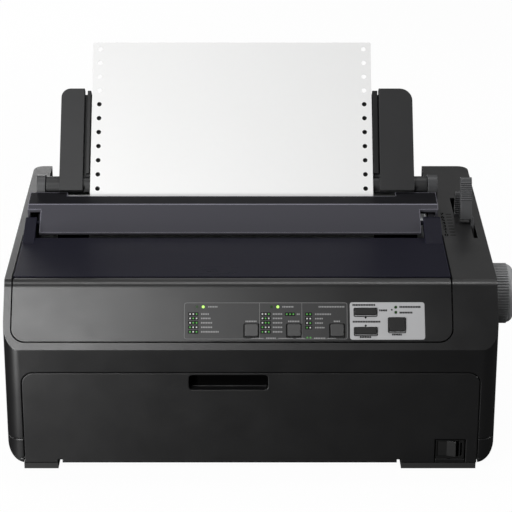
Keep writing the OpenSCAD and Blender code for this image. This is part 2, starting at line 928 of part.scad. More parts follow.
// Lever drawn along its own length: hub, flat stem and ribbed grip
module lever(pivot, lean, stem, grip, grip_from, tip) {
    translate([0, pivot[0], pivot[1]])
        rotate([-lean, 0, 0]) {
            difference() {
                union() {
                    x_rod(stem[0], stem[1], 0, 0, 5.5);
                    box([stem[0], -3, 0], [stem[1], 3, grip_from + 2]);
                    grip_block(grip, grip_from, tip);
                }
                x_rod(stem[0] - 1, stem[1] + 1, 0, 0, lever_pin_r + run);
            }
        }
}

module grip_block(grip, from, tip) {
    ribs = 9;
    pitch = 1.8;
    along_x(grip[0], grip[1]) {
        translate([-3.4, from])
            square([6.8, tip - from - 3.4]);
        translate([0, tip - 3.4])
            circle(3.4);
    }
    for (i = [0:ribs - 1])
        box([grip[0], -4, tip - 5.3 - i * pitch], [grip[1], 0, tip - 4.4 - i * pitch]);
}

module release_lever() color("#8e9197") in_frame()
    lever(release_pivot, release_lean, [deck_in + 26, deck_in + 28.8], [deck_in + 17.5, deck_in + 27], 40, 76);

module thickness_lever() color("#6f7278") in_frame()
    lever(thickness_pivot, thickness_lean, [deck_in + 14.2, deck_in + 18.3], [deck_in + 14, deck_in + 18.5], 40, 57.5);

module lever_pins() color("#b9bcc0") in_frame() {
    for (p = [release_pivot, thickness_pivot])
        x_rod(deck_in + 12, side_x - wall, p[0], p[1], lever_pin_r);
    x_rod(deck_in + 12.5, deck_in + 13.7, release_pivot[0], release_pivot[1], 4);
    x_rod(deck_in + 12.5, deck_in + 13.7, thickness_pivot[0], thickness_pivot[1], 4);
}

// ---------- Paper feed ----------

platen_x0 = frame_left + 24.5;

module platen() color("#1a1a1c") in_frame()
    difference() {
        x_rod(platen_x0, platen_x0 + platen_len, platen_y, platen_z, platen_r);
        x_rod(platen_x0 - 1, platen_x0 + platen_len + 1, platen_y, platen_z, shaft_r);
    }

module platen_shaft() color("#b9bcc0") in_frame()
    x_rod(frame_left - 8, side_x + knob_gap + 14, platen_y, platen_z, shaft_r);

gear_x = frame_right + 3.2;
gear_w = 6;
gear_module = 1;
gear_turn = -50;
pinion_shaft_r = 2;
gear_space = gear_module * (platen_teeth + pinion_teeth) / 2;

// Gear with involute teeth; the play between flanks is the backlash
module gear(teeth, bore, backlash) {
    pitch = gear_module * teeth / 2;
    base = pitch * cos(20);
    tip = pitch + gear_module * 0.95;
    root = pitch - gear_module * 1.2;
    pitch_t = sqrt(pow(pitch / base, 2) - 1) * 180 / PI;
    tip_t = sqrt(pow(tip / base, 2) - 1) * 180 / PI;
    flank = atan2(involute(base, pitch_t)[1], involute(base, pitch_t)[0]);
    half = 90 / teeth - backlash / pitch * 90 / PI;
    steps = 3;
    root_half = flank + half;
    tooth = concat([turn([root, 0], root_half)],
        [for (k = [1:steps]) mirror_y(turn(involute(base, tip_t * k / steps), -flank - half))],
        [for (k = [steps:-1:1]) turn(involute(base, tip_t * k / steps), -flank - half)],
        [turn([root, 0], -root_half)]);
    linear_extrude(gear_w)
        difference() {
            polygon([for (i = [teeth:-1:1], p = tooth) turn(p, i * 360 / teeth)]);
            circle(bore);
        }
}

function mirror_y(p) = [p[0], -p[1]];

module at_gear(x, y, z, angle) {
    translate([x, y, z])
        rotate([90, 0, 90])
            rotate(angle)
                children();
}

module platen_gear() color("#e6e2d2") in_frame()
    at_gear(gear_x, platen_y, platen_z, gear_turn)
        gear(platen_teeth, shaft_r, 0.2);

pinion_y = platen_y + gear_space * cos(gear_turn);
pinion_z = platen_z + gear_space * sin(gear_turn);

module feed_pinion() color("#c9a94e") in_frame() {
    at_gear(gear_x, pinion_y, pinion_z, gear_turn + 180 + 180 / pinion_teeth)
        gear(pinion_teeth, pinion_shaft_r, 0.2);
    x_rod(frame_right - 7, gear_x + gear_w, pinion_y, pinion_z, pinion_shaft_r);
}

module feed_motor() color("#8c8f94") in_frame() {
    front = frame_right;
    difference() {
        box([front - 28, pinion_y - motor_half, pinion_z - motor_half],
            [front, pinion_y + motor_half, pinion_z + motor_half]);
        x_rod(front - 8, front + 1, pinion_y, pinion_z, pinion_shaft_r + run);
    }
}

module feed_knob() color("#5c5e63") in_frame() {
    x0 = side_x + knob_gap;
    r = knob_d / 2;
    ribs = 64;
    edge = 6;
    rib = 0.8;
    difference() {
        translate([x0, platen_y, platen_z])
            rotate([0, 90, 0]) {
                rotate_extrude($fn = 96) {
                    square([r - rib - edge, knob_face - x0]);
                    square([r - rib, knob_face - x0 - edge]);
                    translate([r - rib - edge, knob_face - x0 - edge])
                        circle(edge);
                }
                for (i = [0:ribs - 1])
                    rotate(i * 360 / ribs)
                        translate([r - rib - 1, -0.55, 1.5])
                            cube([rib + 1, 1.1, knob_face - x0 - edge - 1]);
            }
        x_rod(x0 - 1, x0 + 14.5, platen_y, platen_z, shaft_r);
    }
}

// Bushes of the platen shaft, one in each side frame, with their flanges outside
module shaft_bushes() color("#d8d4c4") in_frame() {
    bush(frame_left - frame_t, -1);
    bush(frame_right, 1);
}

module bush(x, outer) {
    flange = 1.5;
    flange_x = outer < 0 ? x - flange : x + frame_t;
    difference() {
        union() {
            x_rod(x, x + frame_t, platen_y, platen_z, 7);
            x_rod(flange_x, flange_x + flange, platen_y, platen_z, 9);
        }
        x_rod(x - 3, x + frame_t + 3, platen_y, platen_z, shaft_r + run);
    }
}

pinch_r = 5;
pinch_turn = -120;
pinch_reach = wrap_r + paper_t + pinch_r + seat;
pinch_y = platen_y + pinch_reach * cos(pinch_turn);
pinch_z = platen_z + pinch_reach * sin(pinch_turn);
pinch_shaft_r = 2.5;

module pinch_rollers() color("#2c2c2e") in_frame() {
    x_rod(frame_left - 1, frame_right + 1, pinch_y, pinch_z, pinch_shaft_r);
    for (i = [0:4])
        x_rod(paper_x - 100 + i * 45, paper_x - 80 + i * 45, pinch_y, pinch_z, pinch_r);
}

// ---------- Metal frame ----------

module frame_outline() {
    polygon([[frame_front, base_z], [frame_front, 104], [60, 140], [74, 146], [140, frame_top],
        [frame_rear - 30, frame_top], [frame_rear, 138], [frame_rear, base_z]]);
}

module side_frame(x) {
    difference() {
        along_x(x, x + frame_t)
            frame_outline();
        x_rod(x - 1, x + frame_t + 1, platen_y, platen_z, 7);
        x_rod(x - 1, x + frame_t + 1, rail_y, rail_z, rail_r);
        x_rod(x - 1, x + frame_t + 1, pinch_y, pinch_z, pinch_shaft_r + run);
        x_rod(x - 1, x + frame_t + 1, tractor_y, tractor_z, tractor_shaft_r + run);
        x_rod(x - 1, x + frame_t + 1, rod_y, rod_z, rod_r);
        x_rod(x - 1, x + frame_t + 1, pinion_y, pinion_z, 5);
    }
}

// Left side plate with the tab that holds the carriage motor
module side_frame_left() color("#9a9da1") in_frame() {
    side_frame(frame_left - frame_t);
    difference() {
        box([frame_left - 0.5, belt_y - motor_half - 3, motor_top], [pulley_left + 12, belt_y + motor_half + 3, motor_top + 1.5]);
        translate([pulley_left, belt_y, motor_top - 1])
            cylinder(h = 4, r = 4);
    }
}

// Right side plate with the tab and post of the idler pulley
module side_frame_right() color("#9a9da1") in_frame() {
    tab = belt_z - 2.5;
    side_frame(frame_right);
    box([frame_right - 34, belt_y - 14, tab - 1.5], [frame_right + 0.5, belt_y + 14, tab]);
    translate([pulley_right, belt_y, tab - 0.5])
        cylinder(h = belt_h + 4.5, r = pulley_pin_r);
}

module base_plate() color("#8f9296") in_frame()
    difference() {
        box([frame_left, frame_front, base_z], [frame_right, 184, base_z + base_t]);
        for (x = boss_x, y = boss_y)
            translate([x, y, base_z - 1])
                cylinder(h = base_t + 2, r = 1.8);
    }

module frame_screws() color("#c4c7cb") in_frame()
    for (x = boss_x, y = boss_y)
        translate([x, y, base_z + base_t])
            difference() {
                union() {
                    cylinder(h = 2.4, r = 3.4);
                    translate([0, 0, -9])
                        cylinder(h = 10, r = 1.5);
                }
                translate([-2.6, -0.45, 1.4])
                    cube([5.2, 0.9, 2]);
                translate([-0.45, -2.6, 1.4])
                    cube([0.9, 5.2, 2]);
            }

// ---------- Carriage ----------

// Shafts that the carriage and the tractors slide on
module guide_shafts() color("#c4c7cb") in_frame() {
    x_rod(frame_left - frame_t - 3, frame_right + frame_t + 1, rail_y, rail_z, rail_r);
    x_rod(frame_left - frame_t - 1, frame_right + frame_t + 1, rod_y, rod_z, rod_r);
}

rail_top = 88;

module front_rail() color("#9a9da1") in_frame() {
    box([frame_left, 49, rail_top - 1.5], [frame_right, 57, rail_top]);
    box([frame_left, 49, rail_top - 9], [frame_right, 50.5, rail_top - 1]);
}

module carriage() color("#2e2f33") in_frame()
    difference() {
        union() {
            box([head_x - 23, 74, 86], [head_x + 23, 94, 103]);
            box([head_x - 12, 50, rail_top + seat], [head_x + 12, 75, 97]);
            box([head_x - 6, belt_y + pulley_r + belt_t + 0.6, belt_z - 1], [head_x + 6, 82, 87]);
        }
        x_rod(head_x - 24, head_x + 24, rail_y, rail_z, rail_r + run);
    }

// Print head: nose at the paper, body with cooling fins above the carriage
module print_head() color("#4b4d52") in_frame() {
    fins = 7;
    nose_y = platen_y - wrap_r - paper_t - 1.6;
    box([head_x - 14, 68, 103 + seat], [head_x + 14, 97, 108]);
    box([head_x - 4.5, 96, platen_z - 1.1], [head_x + 4.5, nose_y, platen_z + 4]);
    for (i = [0:fins - 1])
        box([head_x - 15, 70 + i * 3.8, 108], [head_x + 15, 71.8 + i * 3.8, 124]);
    box([head_x - 4, 69, 108], [head_x + 4, 96, 122]);
}

ribbon_y = platen_y - wrap_r - paper_t - 1;

module ribbon_cartridge() color("#232327") in_frame() {
    x0 = frame_left + 14;
    x1 = frame_right - 14;
    arm = 12;
    difference() {
        union() {
            box([x0, 40, 112], [x1, 60, 136]);
            for (x = [x0, x1 - arm])
                box([x, 59, 112], [x + arm, ribbon_y, 126]);
            for (x = [x0, x1 - arm])
                box([x, ribbon_y - 10, platen_z - 8], [x + arm, ribbon_y, 113]);
            box([frame_left + seat, 50, 114], [x0 + 1, 58, 120]);
            box([x1 - 1, 50, 114], [frame_right - seat, 58, 120]);
        }
        translate([ribbon_knob_x, 50, 120])
            cylinder(h = 30, r = 3 + run);
    }
}

ribbon_knob_x = frame_left + 34;

module ribbon_knob() color("#3c3d42") in_frame()
    translate([ribbon_knob_x, 50, 124]) {
        cylinder(h = 14, r = 3);
        translate([0, 0, 12.3])
            cylinder(h = 5, r = 7);
        for (a = [0:45:315])
            rotate(a)
                translate([6, -0.8, 12.6])
                    cube([2, 1.6, 4.4]);
    }

module ribbon() color("#111113") in_frame()
    box([frame_left + 14, ribbon_y, platen_z - 6], [frame_right - 14, ribbon_y + 0.2, platen_z + 7]);

module carriage_motor() color("#8c8f94") in_frame()
    difference() {
        box([pulley_left - motor_half, belt_y - motor_half, motor_top - 24],
            [pulley_left + motor_half, belt_y + motor_half, motor_top]);
        translate([pulley_left, belt_y, motor_top - 8])
            cylinder(h = 12, r = pulley_pin_r + run);
    }

module pulley(bore) {
    difference() {
        union() {
            cylinder(h = belt_h + 1, r = pulley_r);
            translate([0, 0, -0.9])
                cylinder(h = 1, r = pulley_r + 2);
            translate([0, 0, belt_h + 0.6])
                cylinder(h = 1, r = pulley_r + 2);
        }
        translate([0, 0, -2])
            cylinder(h = belt_h + 6, r = bore);
    }
}

module drive_pulley() color("#b9bcc0") in_frame()
    translate([pulley_left, belt_y, belt_z - 0.3]) {
        pulley(pulley_pin_r);
        translate([0, 0, motor_top - 7 - belt_z + 0.3])
            cylinder(h = belt_z - motor_top + belt_h + 9, r = pulley_pin_r);
    }

module idler_pulley() color("#b9bcc0") in_frame()
    translate([pulley_right, belt_y, belt_z - 0.3])
        pulley(pulley_pin_r + run);

module loop_outline(r) {
    translate([pulley_left, belt_y - r])
        square([pulley_right - pulley_left, 2 * r]);
    for (x = [pulley_left, pulley_right])
        translate([x, belt_y])
            circle(r);
}

module timing_belt() color("#141416") in_frame()
    translate([0, 0, belt_z])
        linear_extrude(belt_h)
            difference() {
                loop_outline(pulley_r + 0.2 + belt_t);
                loop_outline(pulley_r + 0.2);
            }

// Ramp that leads a sheet from the front slot up to the platen
module feed_ramp() color("#3a3b40") in_frame() {
    x0 = paper_x - paper_w / 2 - 3;
    x1 = paper_x + paper_w / 2 + 3;
    t = 1.5;
    along_x(x0, x1)
        polygon([[bulkhead + seat, 44], [30, 52], [64, 66], [104, 82], [104, 82 - t], [64, 66 - t],
            [30, 52 - t], [bulkhead + seat, 44 - t]]);
    for (x = [x0 + 8, x1 - 10])
        along_x(x, x + 2)
            polygon([[92, base_z + base_t], [92, 76], [102, 80], [102, base_z + base_t]]);
}

// ---------- Tractors ----------

module tractor_shaft() color("#b9bcc0") in_frame()
    x_rod(frame_left - frame_t - 2, frame_right + frame_t + 2, tractor_y, tractor_z, tractor_shaft_r);

tractor_left_x = paper_x - hole_rows / 2;
tractor_right_x = paper_x + hole_rows / 2;

ear_out = 3.5;
flap_pin_r = 1;

// Tractor unit with its sprocket pins and, on its outer side, the ears of the flap's hinge
module tractor(x, outer) {
    top = tractor_z + 8;
    half = tractor_w / 2;
    difference() {
        translate([x, tractor_y, 0])
            scale([outer, 1, 1]) {
                box([-half, -18, tractor_z - 8], [half, 18, top]);
                for (i = [-1, 0, 1])
                    translate([0, i * hole_pitch, top - 0.1])
                        cylinder(h = 3.1, r = 1.6);
                for (y = [-12, 8.3])
                    box([half - 1, y, top - 4], [half + ear_out, y + 3.7, top + 0.4]);
                for (y = [-12, 8.3])
                    box([half + 0.3, y, top - 4], [half + ear_out, y + 3.7, top + 3.4]);
                translate([half + ear_out - 1.7, -9, top + 1.8])
                    rotate([-90, 0, 0])
                        cylinder(h = 18, r = flap_pin_r);
            }
        x_rod(x - tractor_w, x + tractor_w, tractor_y, tractor_z, tractor_shaft_r + run);
        x_rod(x - tractor_w, x + tractor_w, rod_y, rod_z, rod_r + run);
    }
}

module tractor_left() color("#3a3b40") in_frame()
    tractor(tractor_left_x, -1);

module tractor_right() color("#3a3b40") in_frame()
    tractor(tractor_right_x, 1);

// Flap that holds the paper on the pins, slotted where the pins come through
module tractor_flap(x, outer) {
    top = tractor_z + 8;
    half = tractor_w / 2;
    pin_x = half + ear_out - 1.7;
    translate([x, tractor_y, 0])
        scale([outer, 1, 1])
            difference() {
                union() {
                    box([-half + 1, -17, top + 0.8], [half - 4, 17, top + 2.8]);
                    box([half - 5, -8, top + 0.8], [pin_x, 8, top + 2.8]);
                    translate([pin_x, -8, top + 1.8])
                        rotate([-90, 0, 0])
                            cylinder(h = 16, r = 1.8);
                }
                box([-2.4, -15.5, top], [2.4, 15.5, top + 4]);
                translate([pin_x, -9, top + 1.8])
                    rotate([-90, 0, 0])
                        cylinder(h = 18, r = flap_pin_r + run);
            }
}

module tractor_flap_left() color("#4a4c52") in_frame()
    tractor_flap(tractor_left_x, -1);

module tractor_flap_right() color("#4a4c52") in_frame()
    tractor_flap(tractor_right_x, 1);

// ---------- Electrics ----------

module main_board() color("#2f6b3c") in_frame() {
    chip_x = board_left + 12;
    chip_y = board_front + 30;
    box([board_left, board_front, board_z], [board_right, board_rear, board_z + 1.6]);
    for (i = [0:3])
        box([chip_x + i * 34, chip_y, board_z + 1.6], [chip_x + 18 + i * 34, chip_y + 26, board_z + 5]);
    for (x = [board_left + 22, board_left + 42, board_right - 32])
        translate([x, board_rear - 48, board_z + 1.6])
            cylinder(h = 18, r = 6);
}

module power_unit() color("#a7aaae") in_frame()
    box([unit_left, unit_front, floor_z + wall + 4], [unit_right, unit_rear, 66]);

// Appliance inlet with three pins
module power_inlet() color("#1b1b1d") in_frame() {
    y1 = body_depth + 0.8;
    difference() {
        union() {
            box([inlet_x - 13.5, body_depth - 23.7, inlet_z - 10], [inlet_x + 13.5, y1, inlet_z + 10]);
            box([inlet_x - 20, body_depth + seat, inlet_z - 12], [inlet_x + 20, body_depth + 2.5, inlet_z + 12]);
        }
        translate([inlet_x, body_depth - 16, inlet_z])
            rotate([-90, 0, 0])
                linear_extrude(30)
                    round_rect(24.4, 16.4, 2.5);
    }
    for (p = [[-7, -1], [7, -1], [0, 3]])
        box([inlet_x + p[0] - 1, body_depth - 17, inlet_z + p[1] - 2], [inlet_x + p[0] + 1, body_depth - 2, inlet_z + p[1] + 2]);
}

// Parallel and serial sockets on the main board
module data_ports() color("#b0b3b7") in_frame() {
    y0 = body_depth - 22;
    z0 = board_z + 1.6;
    difference() {
        box([port_x - 32, y0, z0], [port_x + 32, body_depth + 1, z0 + 17]);
        box([port_x - 28, body_depth - 8, z0 + 4], [port_x + 28, body_depth + 2, z0 + 13]);
    }
    box([port_x - 25, body_depth - 9, z0 + 7.5], [port_x + 25, body_depth - 1, z0 + 9.5]);
    difference() {
        box([usb_x - 6, y0, z0], [usb_x + 6, body_depth + 0.6, z0 + 11]);
        box([usb_x - 4.2, body_depth - 8, z0 + 1.6], [usb_x + 4.2, body_depth + 2, z0 + 9.4]);
    }
    box([usb_x - 2.8, body_depth - 9, z0 + 3.9], [usb_x + 2.8, body_depth - 1, z0 + 7]);
}

rocker_x = switch_room[0] + 10;
rocker_y = 6;
rocker_half = 7.4;
rocker_tilt = 10.2;

// Housing of the mains switch, set in the case beside the front cover's cut-out
module power_switch() color("#17171a") in_frame()
    difference() {
        box([switch_room[0] + seat, 0.4, switch_room[2] + seat], [switch_room[1] - seat, 22, switch_room[3] - seat]);
        box([rocker_x - 8.8, -1, 10.6], [rocker_x + 8.8, 12, 24.2]);
        box([switch_room[1] - 3.5, -1, 11], [switch_room[1] - 2.1, 4, 22.6]);
        translate([rocker_x, rocker_y, 9.2])
            cylinder(h = 15.3, r = 1.5 + run);
    }

module power_rocker() color("#2b2b2f") in_frame()
    translate([rocker_x, rocker_y, 0])
        rotate(-rocker_tilt) {
            translate([0, 0, 10.9])
                linear_extrude(13.1)
                    polygon([[-rocker_half, -6.4], [0, -5], [rocker_half, -6.4], [rocker_half - 1, 0],
                        [4, 3.5], [-4, 3.5], [-rocker_half + 1, 0]]);
            translate([0, 0, 9.5])
                cylinder(h = 14.7, r = 1.5);
        }

lower_case();
upper_case();
feet();
front_cover();
control_panel();
legend_plate();
key_plate();
indicator_lights();
key_left();
key_middle();
key_right();
key_load();
key_feed();
key_pause();
panel_board();
printer_cover();
rear_cover();
paper();
paper_guide();
edge_guide_left();
edge_guide_right();
guide_posts();
release_lever();
thickness_lever();
lever_pins();
platen();
platen_shaft();
platen_gear();
feed_knob();
shaft_bushes();
feed_motor();
feed_pinion();
pinch_rollers();
side_frame_left();
side_frame_right();
base_plate();
frame_screws();
guide_shafts();
front_rail();
carriage();
print_head();
ribbon_cartridge();
ribbon_knob();
ribbon();
carriage_motor();
drive_pulley();
idler_pulley();
timing_belt();
feed_ramp();
tractor_shaft();
tractor_left();
tractor_right();
tractor_flap_left();
tractor_flap_right();
main_board();
power_unit();
power_inlet();
data_ports();
power_switch();
power_rocker();
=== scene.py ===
"""Finishes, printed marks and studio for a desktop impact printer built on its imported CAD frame."""

import math

import bpy
from bpy.props import FloatProperty, FloatVectorProperty, PointerProperty
from bpy.types import Operator, Panel, PropertyGroup
from mathutils import Euler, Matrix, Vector


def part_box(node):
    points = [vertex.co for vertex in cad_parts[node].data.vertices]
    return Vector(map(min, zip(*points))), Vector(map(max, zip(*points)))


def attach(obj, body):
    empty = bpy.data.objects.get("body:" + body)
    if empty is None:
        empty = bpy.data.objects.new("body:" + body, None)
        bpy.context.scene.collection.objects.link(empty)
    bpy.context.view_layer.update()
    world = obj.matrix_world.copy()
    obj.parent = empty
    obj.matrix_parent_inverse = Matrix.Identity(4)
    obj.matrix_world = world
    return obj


bl_info = {
    "name": "Impact printer finish",
    "version": (1, 0, 0),
    "blender": (4, 5, 0),
    "location": "View3D > Sidebar > Printer",
    "description": "Plastics, metals, printed marks and studio for a desktop impact printer",
    "category": "Object",
}

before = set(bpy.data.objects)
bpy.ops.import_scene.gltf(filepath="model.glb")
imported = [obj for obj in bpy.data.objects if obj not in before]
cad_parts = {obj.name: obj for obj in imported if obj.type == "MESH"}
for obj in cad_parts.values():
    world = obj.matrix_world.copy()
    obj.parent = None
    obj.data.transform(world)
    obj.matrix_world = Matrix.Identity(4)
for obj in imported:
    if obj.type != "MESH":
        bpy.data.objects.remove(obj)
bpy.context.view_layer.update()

MM = 0.001
CASE_LOW, CASE_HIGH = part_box("upper_case")
CASE_MIDDLE = (CASE_LOW.x + CASE_HIGH.x) / 2
CASE_FRONT = CASE_LOW.y
PAPER_LOW, PAPER_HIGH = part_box("paper")
PAPER_MIDDLE = (PAPER_LOW.x + PAPER_HIGH.x) / 2 - CASE_MIDDLE

# Lengths from here to the studio are millimetres: across from the case's middle, depths behind its
# front face and heights above the desk.

# Control slope: its angle, its normal and the height of its foot
SLOPE = math.radians(55.1)
SLOPE_NORMAL = (0.0, -math.sin(SLOPE), math.cos(SLOPE))
SLOPE_FOOT = 103.5

# Top deck: its angle, its normal, and the depth and height where it starts
DECK = math.radians(4.87)
DECK_NORMAL = (0.0, -math.sin(DECK), math.cos(DECK))
DECK_START = (32.9, 150.66)

# How nearly two normals agree when they belong to one face, how soon an edge counts as looking up
# for the painted highlight, and the samples of a rounded edge
SAME_FACE = 0.99
UP_GAIN = 1.4
EDGE_SAMPLES = 6

# Fold of the rear cover: its depth, and half the width of the painted highlight line along it
RIDGE = 141.6
RIDGE_HIGHLIGHT = 0.55

# Control panel: its lower edge up the slope, its corner radius and the gap round it
PANEL_FOOT = 6.6
PANEL_CORNER = 11.0
PANEL_GAP = 0.6

# Width of the dark shade along a gap, and how far back it runs beside the see-through cover
GAP_SHADE = 1.2
COVER_REACH = 118.0

# Finger recess, which gets painted shade: middle, half width, floor height and depth, and the lip that the
# shade leaves out
RECESS = (-17.7, 31.6, 69.6, 8.6)
RECESS_LIP = 1.2

# Indicator lights: the middles of the two lit ones, and half the width that takes in one of them
LIT_LIGHTS = (-37.7, 21.4)
LIGHT_REACH = 2.2

# Paper: its lean, the depth and height of its slot, its width and the width of its tear strips
PAPER_LEAN = math.radians(35.3)
PAPER_SLOT = (160.0, 180.0)
PAPER_WIDTH = 241.3
TEAR_STRIP = 12.7

# Tear slits: height of the first one above the slot and of the whole row, place below the face, and size
SLIT_START = 2.0
SLIT_ROW = 132.0
SLIT_SINK = 0.15
SLIT_SIZE = (0.18, 0.36, 1.1)

# Lever scale: depth of its first mark, pitch and count of its marks, and place and size of ticks and
# numbers, with the weight that the strokes of the numbers gain
SCALE_START = 118.0
SCALE_PITCH = 6.2
SCALE_MARKS = 8
TICK_PLACE = 169.0
TICK_SIZE = (4.6, 1.0)
NUMBER_PLACE = 165.2
NUMBER_SIZE = 6.6
NUMBER_WEIGHT = 0.16

# Print: its thickness, the face of the films above the slope, and the middle height of marks
# on the films and of dots on their dark blocks
INK = 0.06
FILM_FACE = 0.2
MARK = FILM_FACE + INK / 2
DOT = MARK + INK
SLOPE_TILT = (SLOPE, 0.0, 0.0)

# Rows of words and dots up the slope: the long ones with three dots and the short ones with two
LONG_ROWS = (29.0, 25.5, 21.9, 18.3, 14.6)
SHORT_ROWS = (28.9, 25.3, 21.7, 18.0)
WORD_PITCH = 1.3

# Studio, in metres: what the lamps aim at, their sizes, and the places of those without a setting
LAMP_AIM = (0.0, -0.05, 0.1)
SIDE_LAMP_SIZE = (0.15, 0.1)
BACK_LAMP_SIZE = (1.6, 0.2)
STRIP_LAMP_SIZE = (1.5, 0.25)
FILL_LAMP = ((1.25, -0.15, 0.5), (0.5, 0.4))
REAR_LAMP = ((-0.6, 1.6, 0.55), (0.8, 0.4))
FLOOR_HALF = 6.0

# Camera, solved from the case's edges in the photograph; its place is in millimetres
CAMERA_PLACE = (0.0, -1398.5, 691.3)
CAMERA_TILT = math.radians(70.0)
CAMERA_SENSOR = 36.0
CAMERA_LENS = 135.28
CAMERA_SHIFT = 0.01016
CAMERA_CLIP = (0.05, 50.0)


def place(x, y, z):
    """Millimetres from the middle of the case front at desk level, as a point of the frame."""
    return Vector((CASE_MIDDLE + x * MM, CASE_FRONT + y * MM, z * MM))


def on_slope(x, up, out=0.0):
    """Point on the control slope: across, up the slope and out of it."""
    y = up * math.cos(SLOPE) - out * math.sin(SLOPE)
    z = SLOPE_FOOT + up * math.sin(SLOPE) + out * math.cos(SLOPE)
    return place(x, y, z)


def on_deck(x, y, out=0.0):
    """Point on the top deck, y behind the front face."""
    z = DECK_START[1] + math.tan(DECK) * (y - DECK_START[0])
    return place(x, y - out * math.sin(DECK), z + out * math.cos(DECK))


def on_paper(x, up, out=0.0):
    """Point on the paper's plane: up from the slot, and out towards the front."""
    y = PAPER_SLOT[0] + up * math.sin(PAPER_LEAN) - out * math.cos(PAPER_LEAN)
    z = PAPER_SLOT[1] + up * math.cos(PAPER_LEAN) + out * math.sin(PAPER_LEAN)
    return place(x, y, z)


# ---------- Materials ----------


class Wire:
    """A shader socket that takes part in arithmetic, one Math node for each operation."""

    def __init__(self, nodes, socket):
        self.nodes = nodes
        self.socket = socket

    def math(self, operation, first, second=0.0):
        return self.nodes.math(operation, first, second)

    def __add__(self, other):
        return self.math("ADD", self, other)

    def __sub__(self, other):
        return self.math("SUBTRACT", self, other)

    def __rsub__(self, other):
        return self.math("SUBTRACT", other, self)

    def __mul__(self, other):
        return self.math("MULTIPLY", self, other)

    def __truediv__(self, other):
        return self.math("DIVIDE", self, other)

    def __gt__(self, other):
        return self.math("GREATER_THAN", self, other)

    def __lt__(self, other):
        return self.math("LESS_THAN", self, other)

    def __abs__(self):
        return self.math("ABSOLUTE", self)

    def wrapped(self):
        """Its fraction, which runs from 0 to 1 again and again."""
        return self.math("FRACT", self)

    def out(self, name):
        """Another output of the same node."""
        return Wire(self.nodes, self.socket.node.outputs[name])


class Nodes:
    """A shader node tree while its nodes are laid."""

    def __init__(self, tree):
        self.tree = tree
        tree.nodes.clear()

    def feed(self, made, sockets):
        """Sets a node's sockets to values, or links them to wires."""
        for key, value in sockets.items():
            if isinstance(value, Wire):
                self.tree.links.new(value.socket, made.inputs[key])
            else:
                made.inputs[key].default_value = value

    def node(self, kind, settings=None, sockets=None):
        """Adds a node with its settings and sockets, and returns its first output if it has one."""
        made = self.tree.nodes.new(kind)
        for name, value in (settings or {}).items():
            setattr(made, name, value)
        self.feed(made, sockets or {})
        shown = [socket for socket in made.outputs if socket.enabled]
        return Wire(self, shown[0]) if shown else None

    def math(self, operation, first, second=0.0):
        return self.node("ShaderNodeMath", {"operation": operation}, {0: first, 1: second})


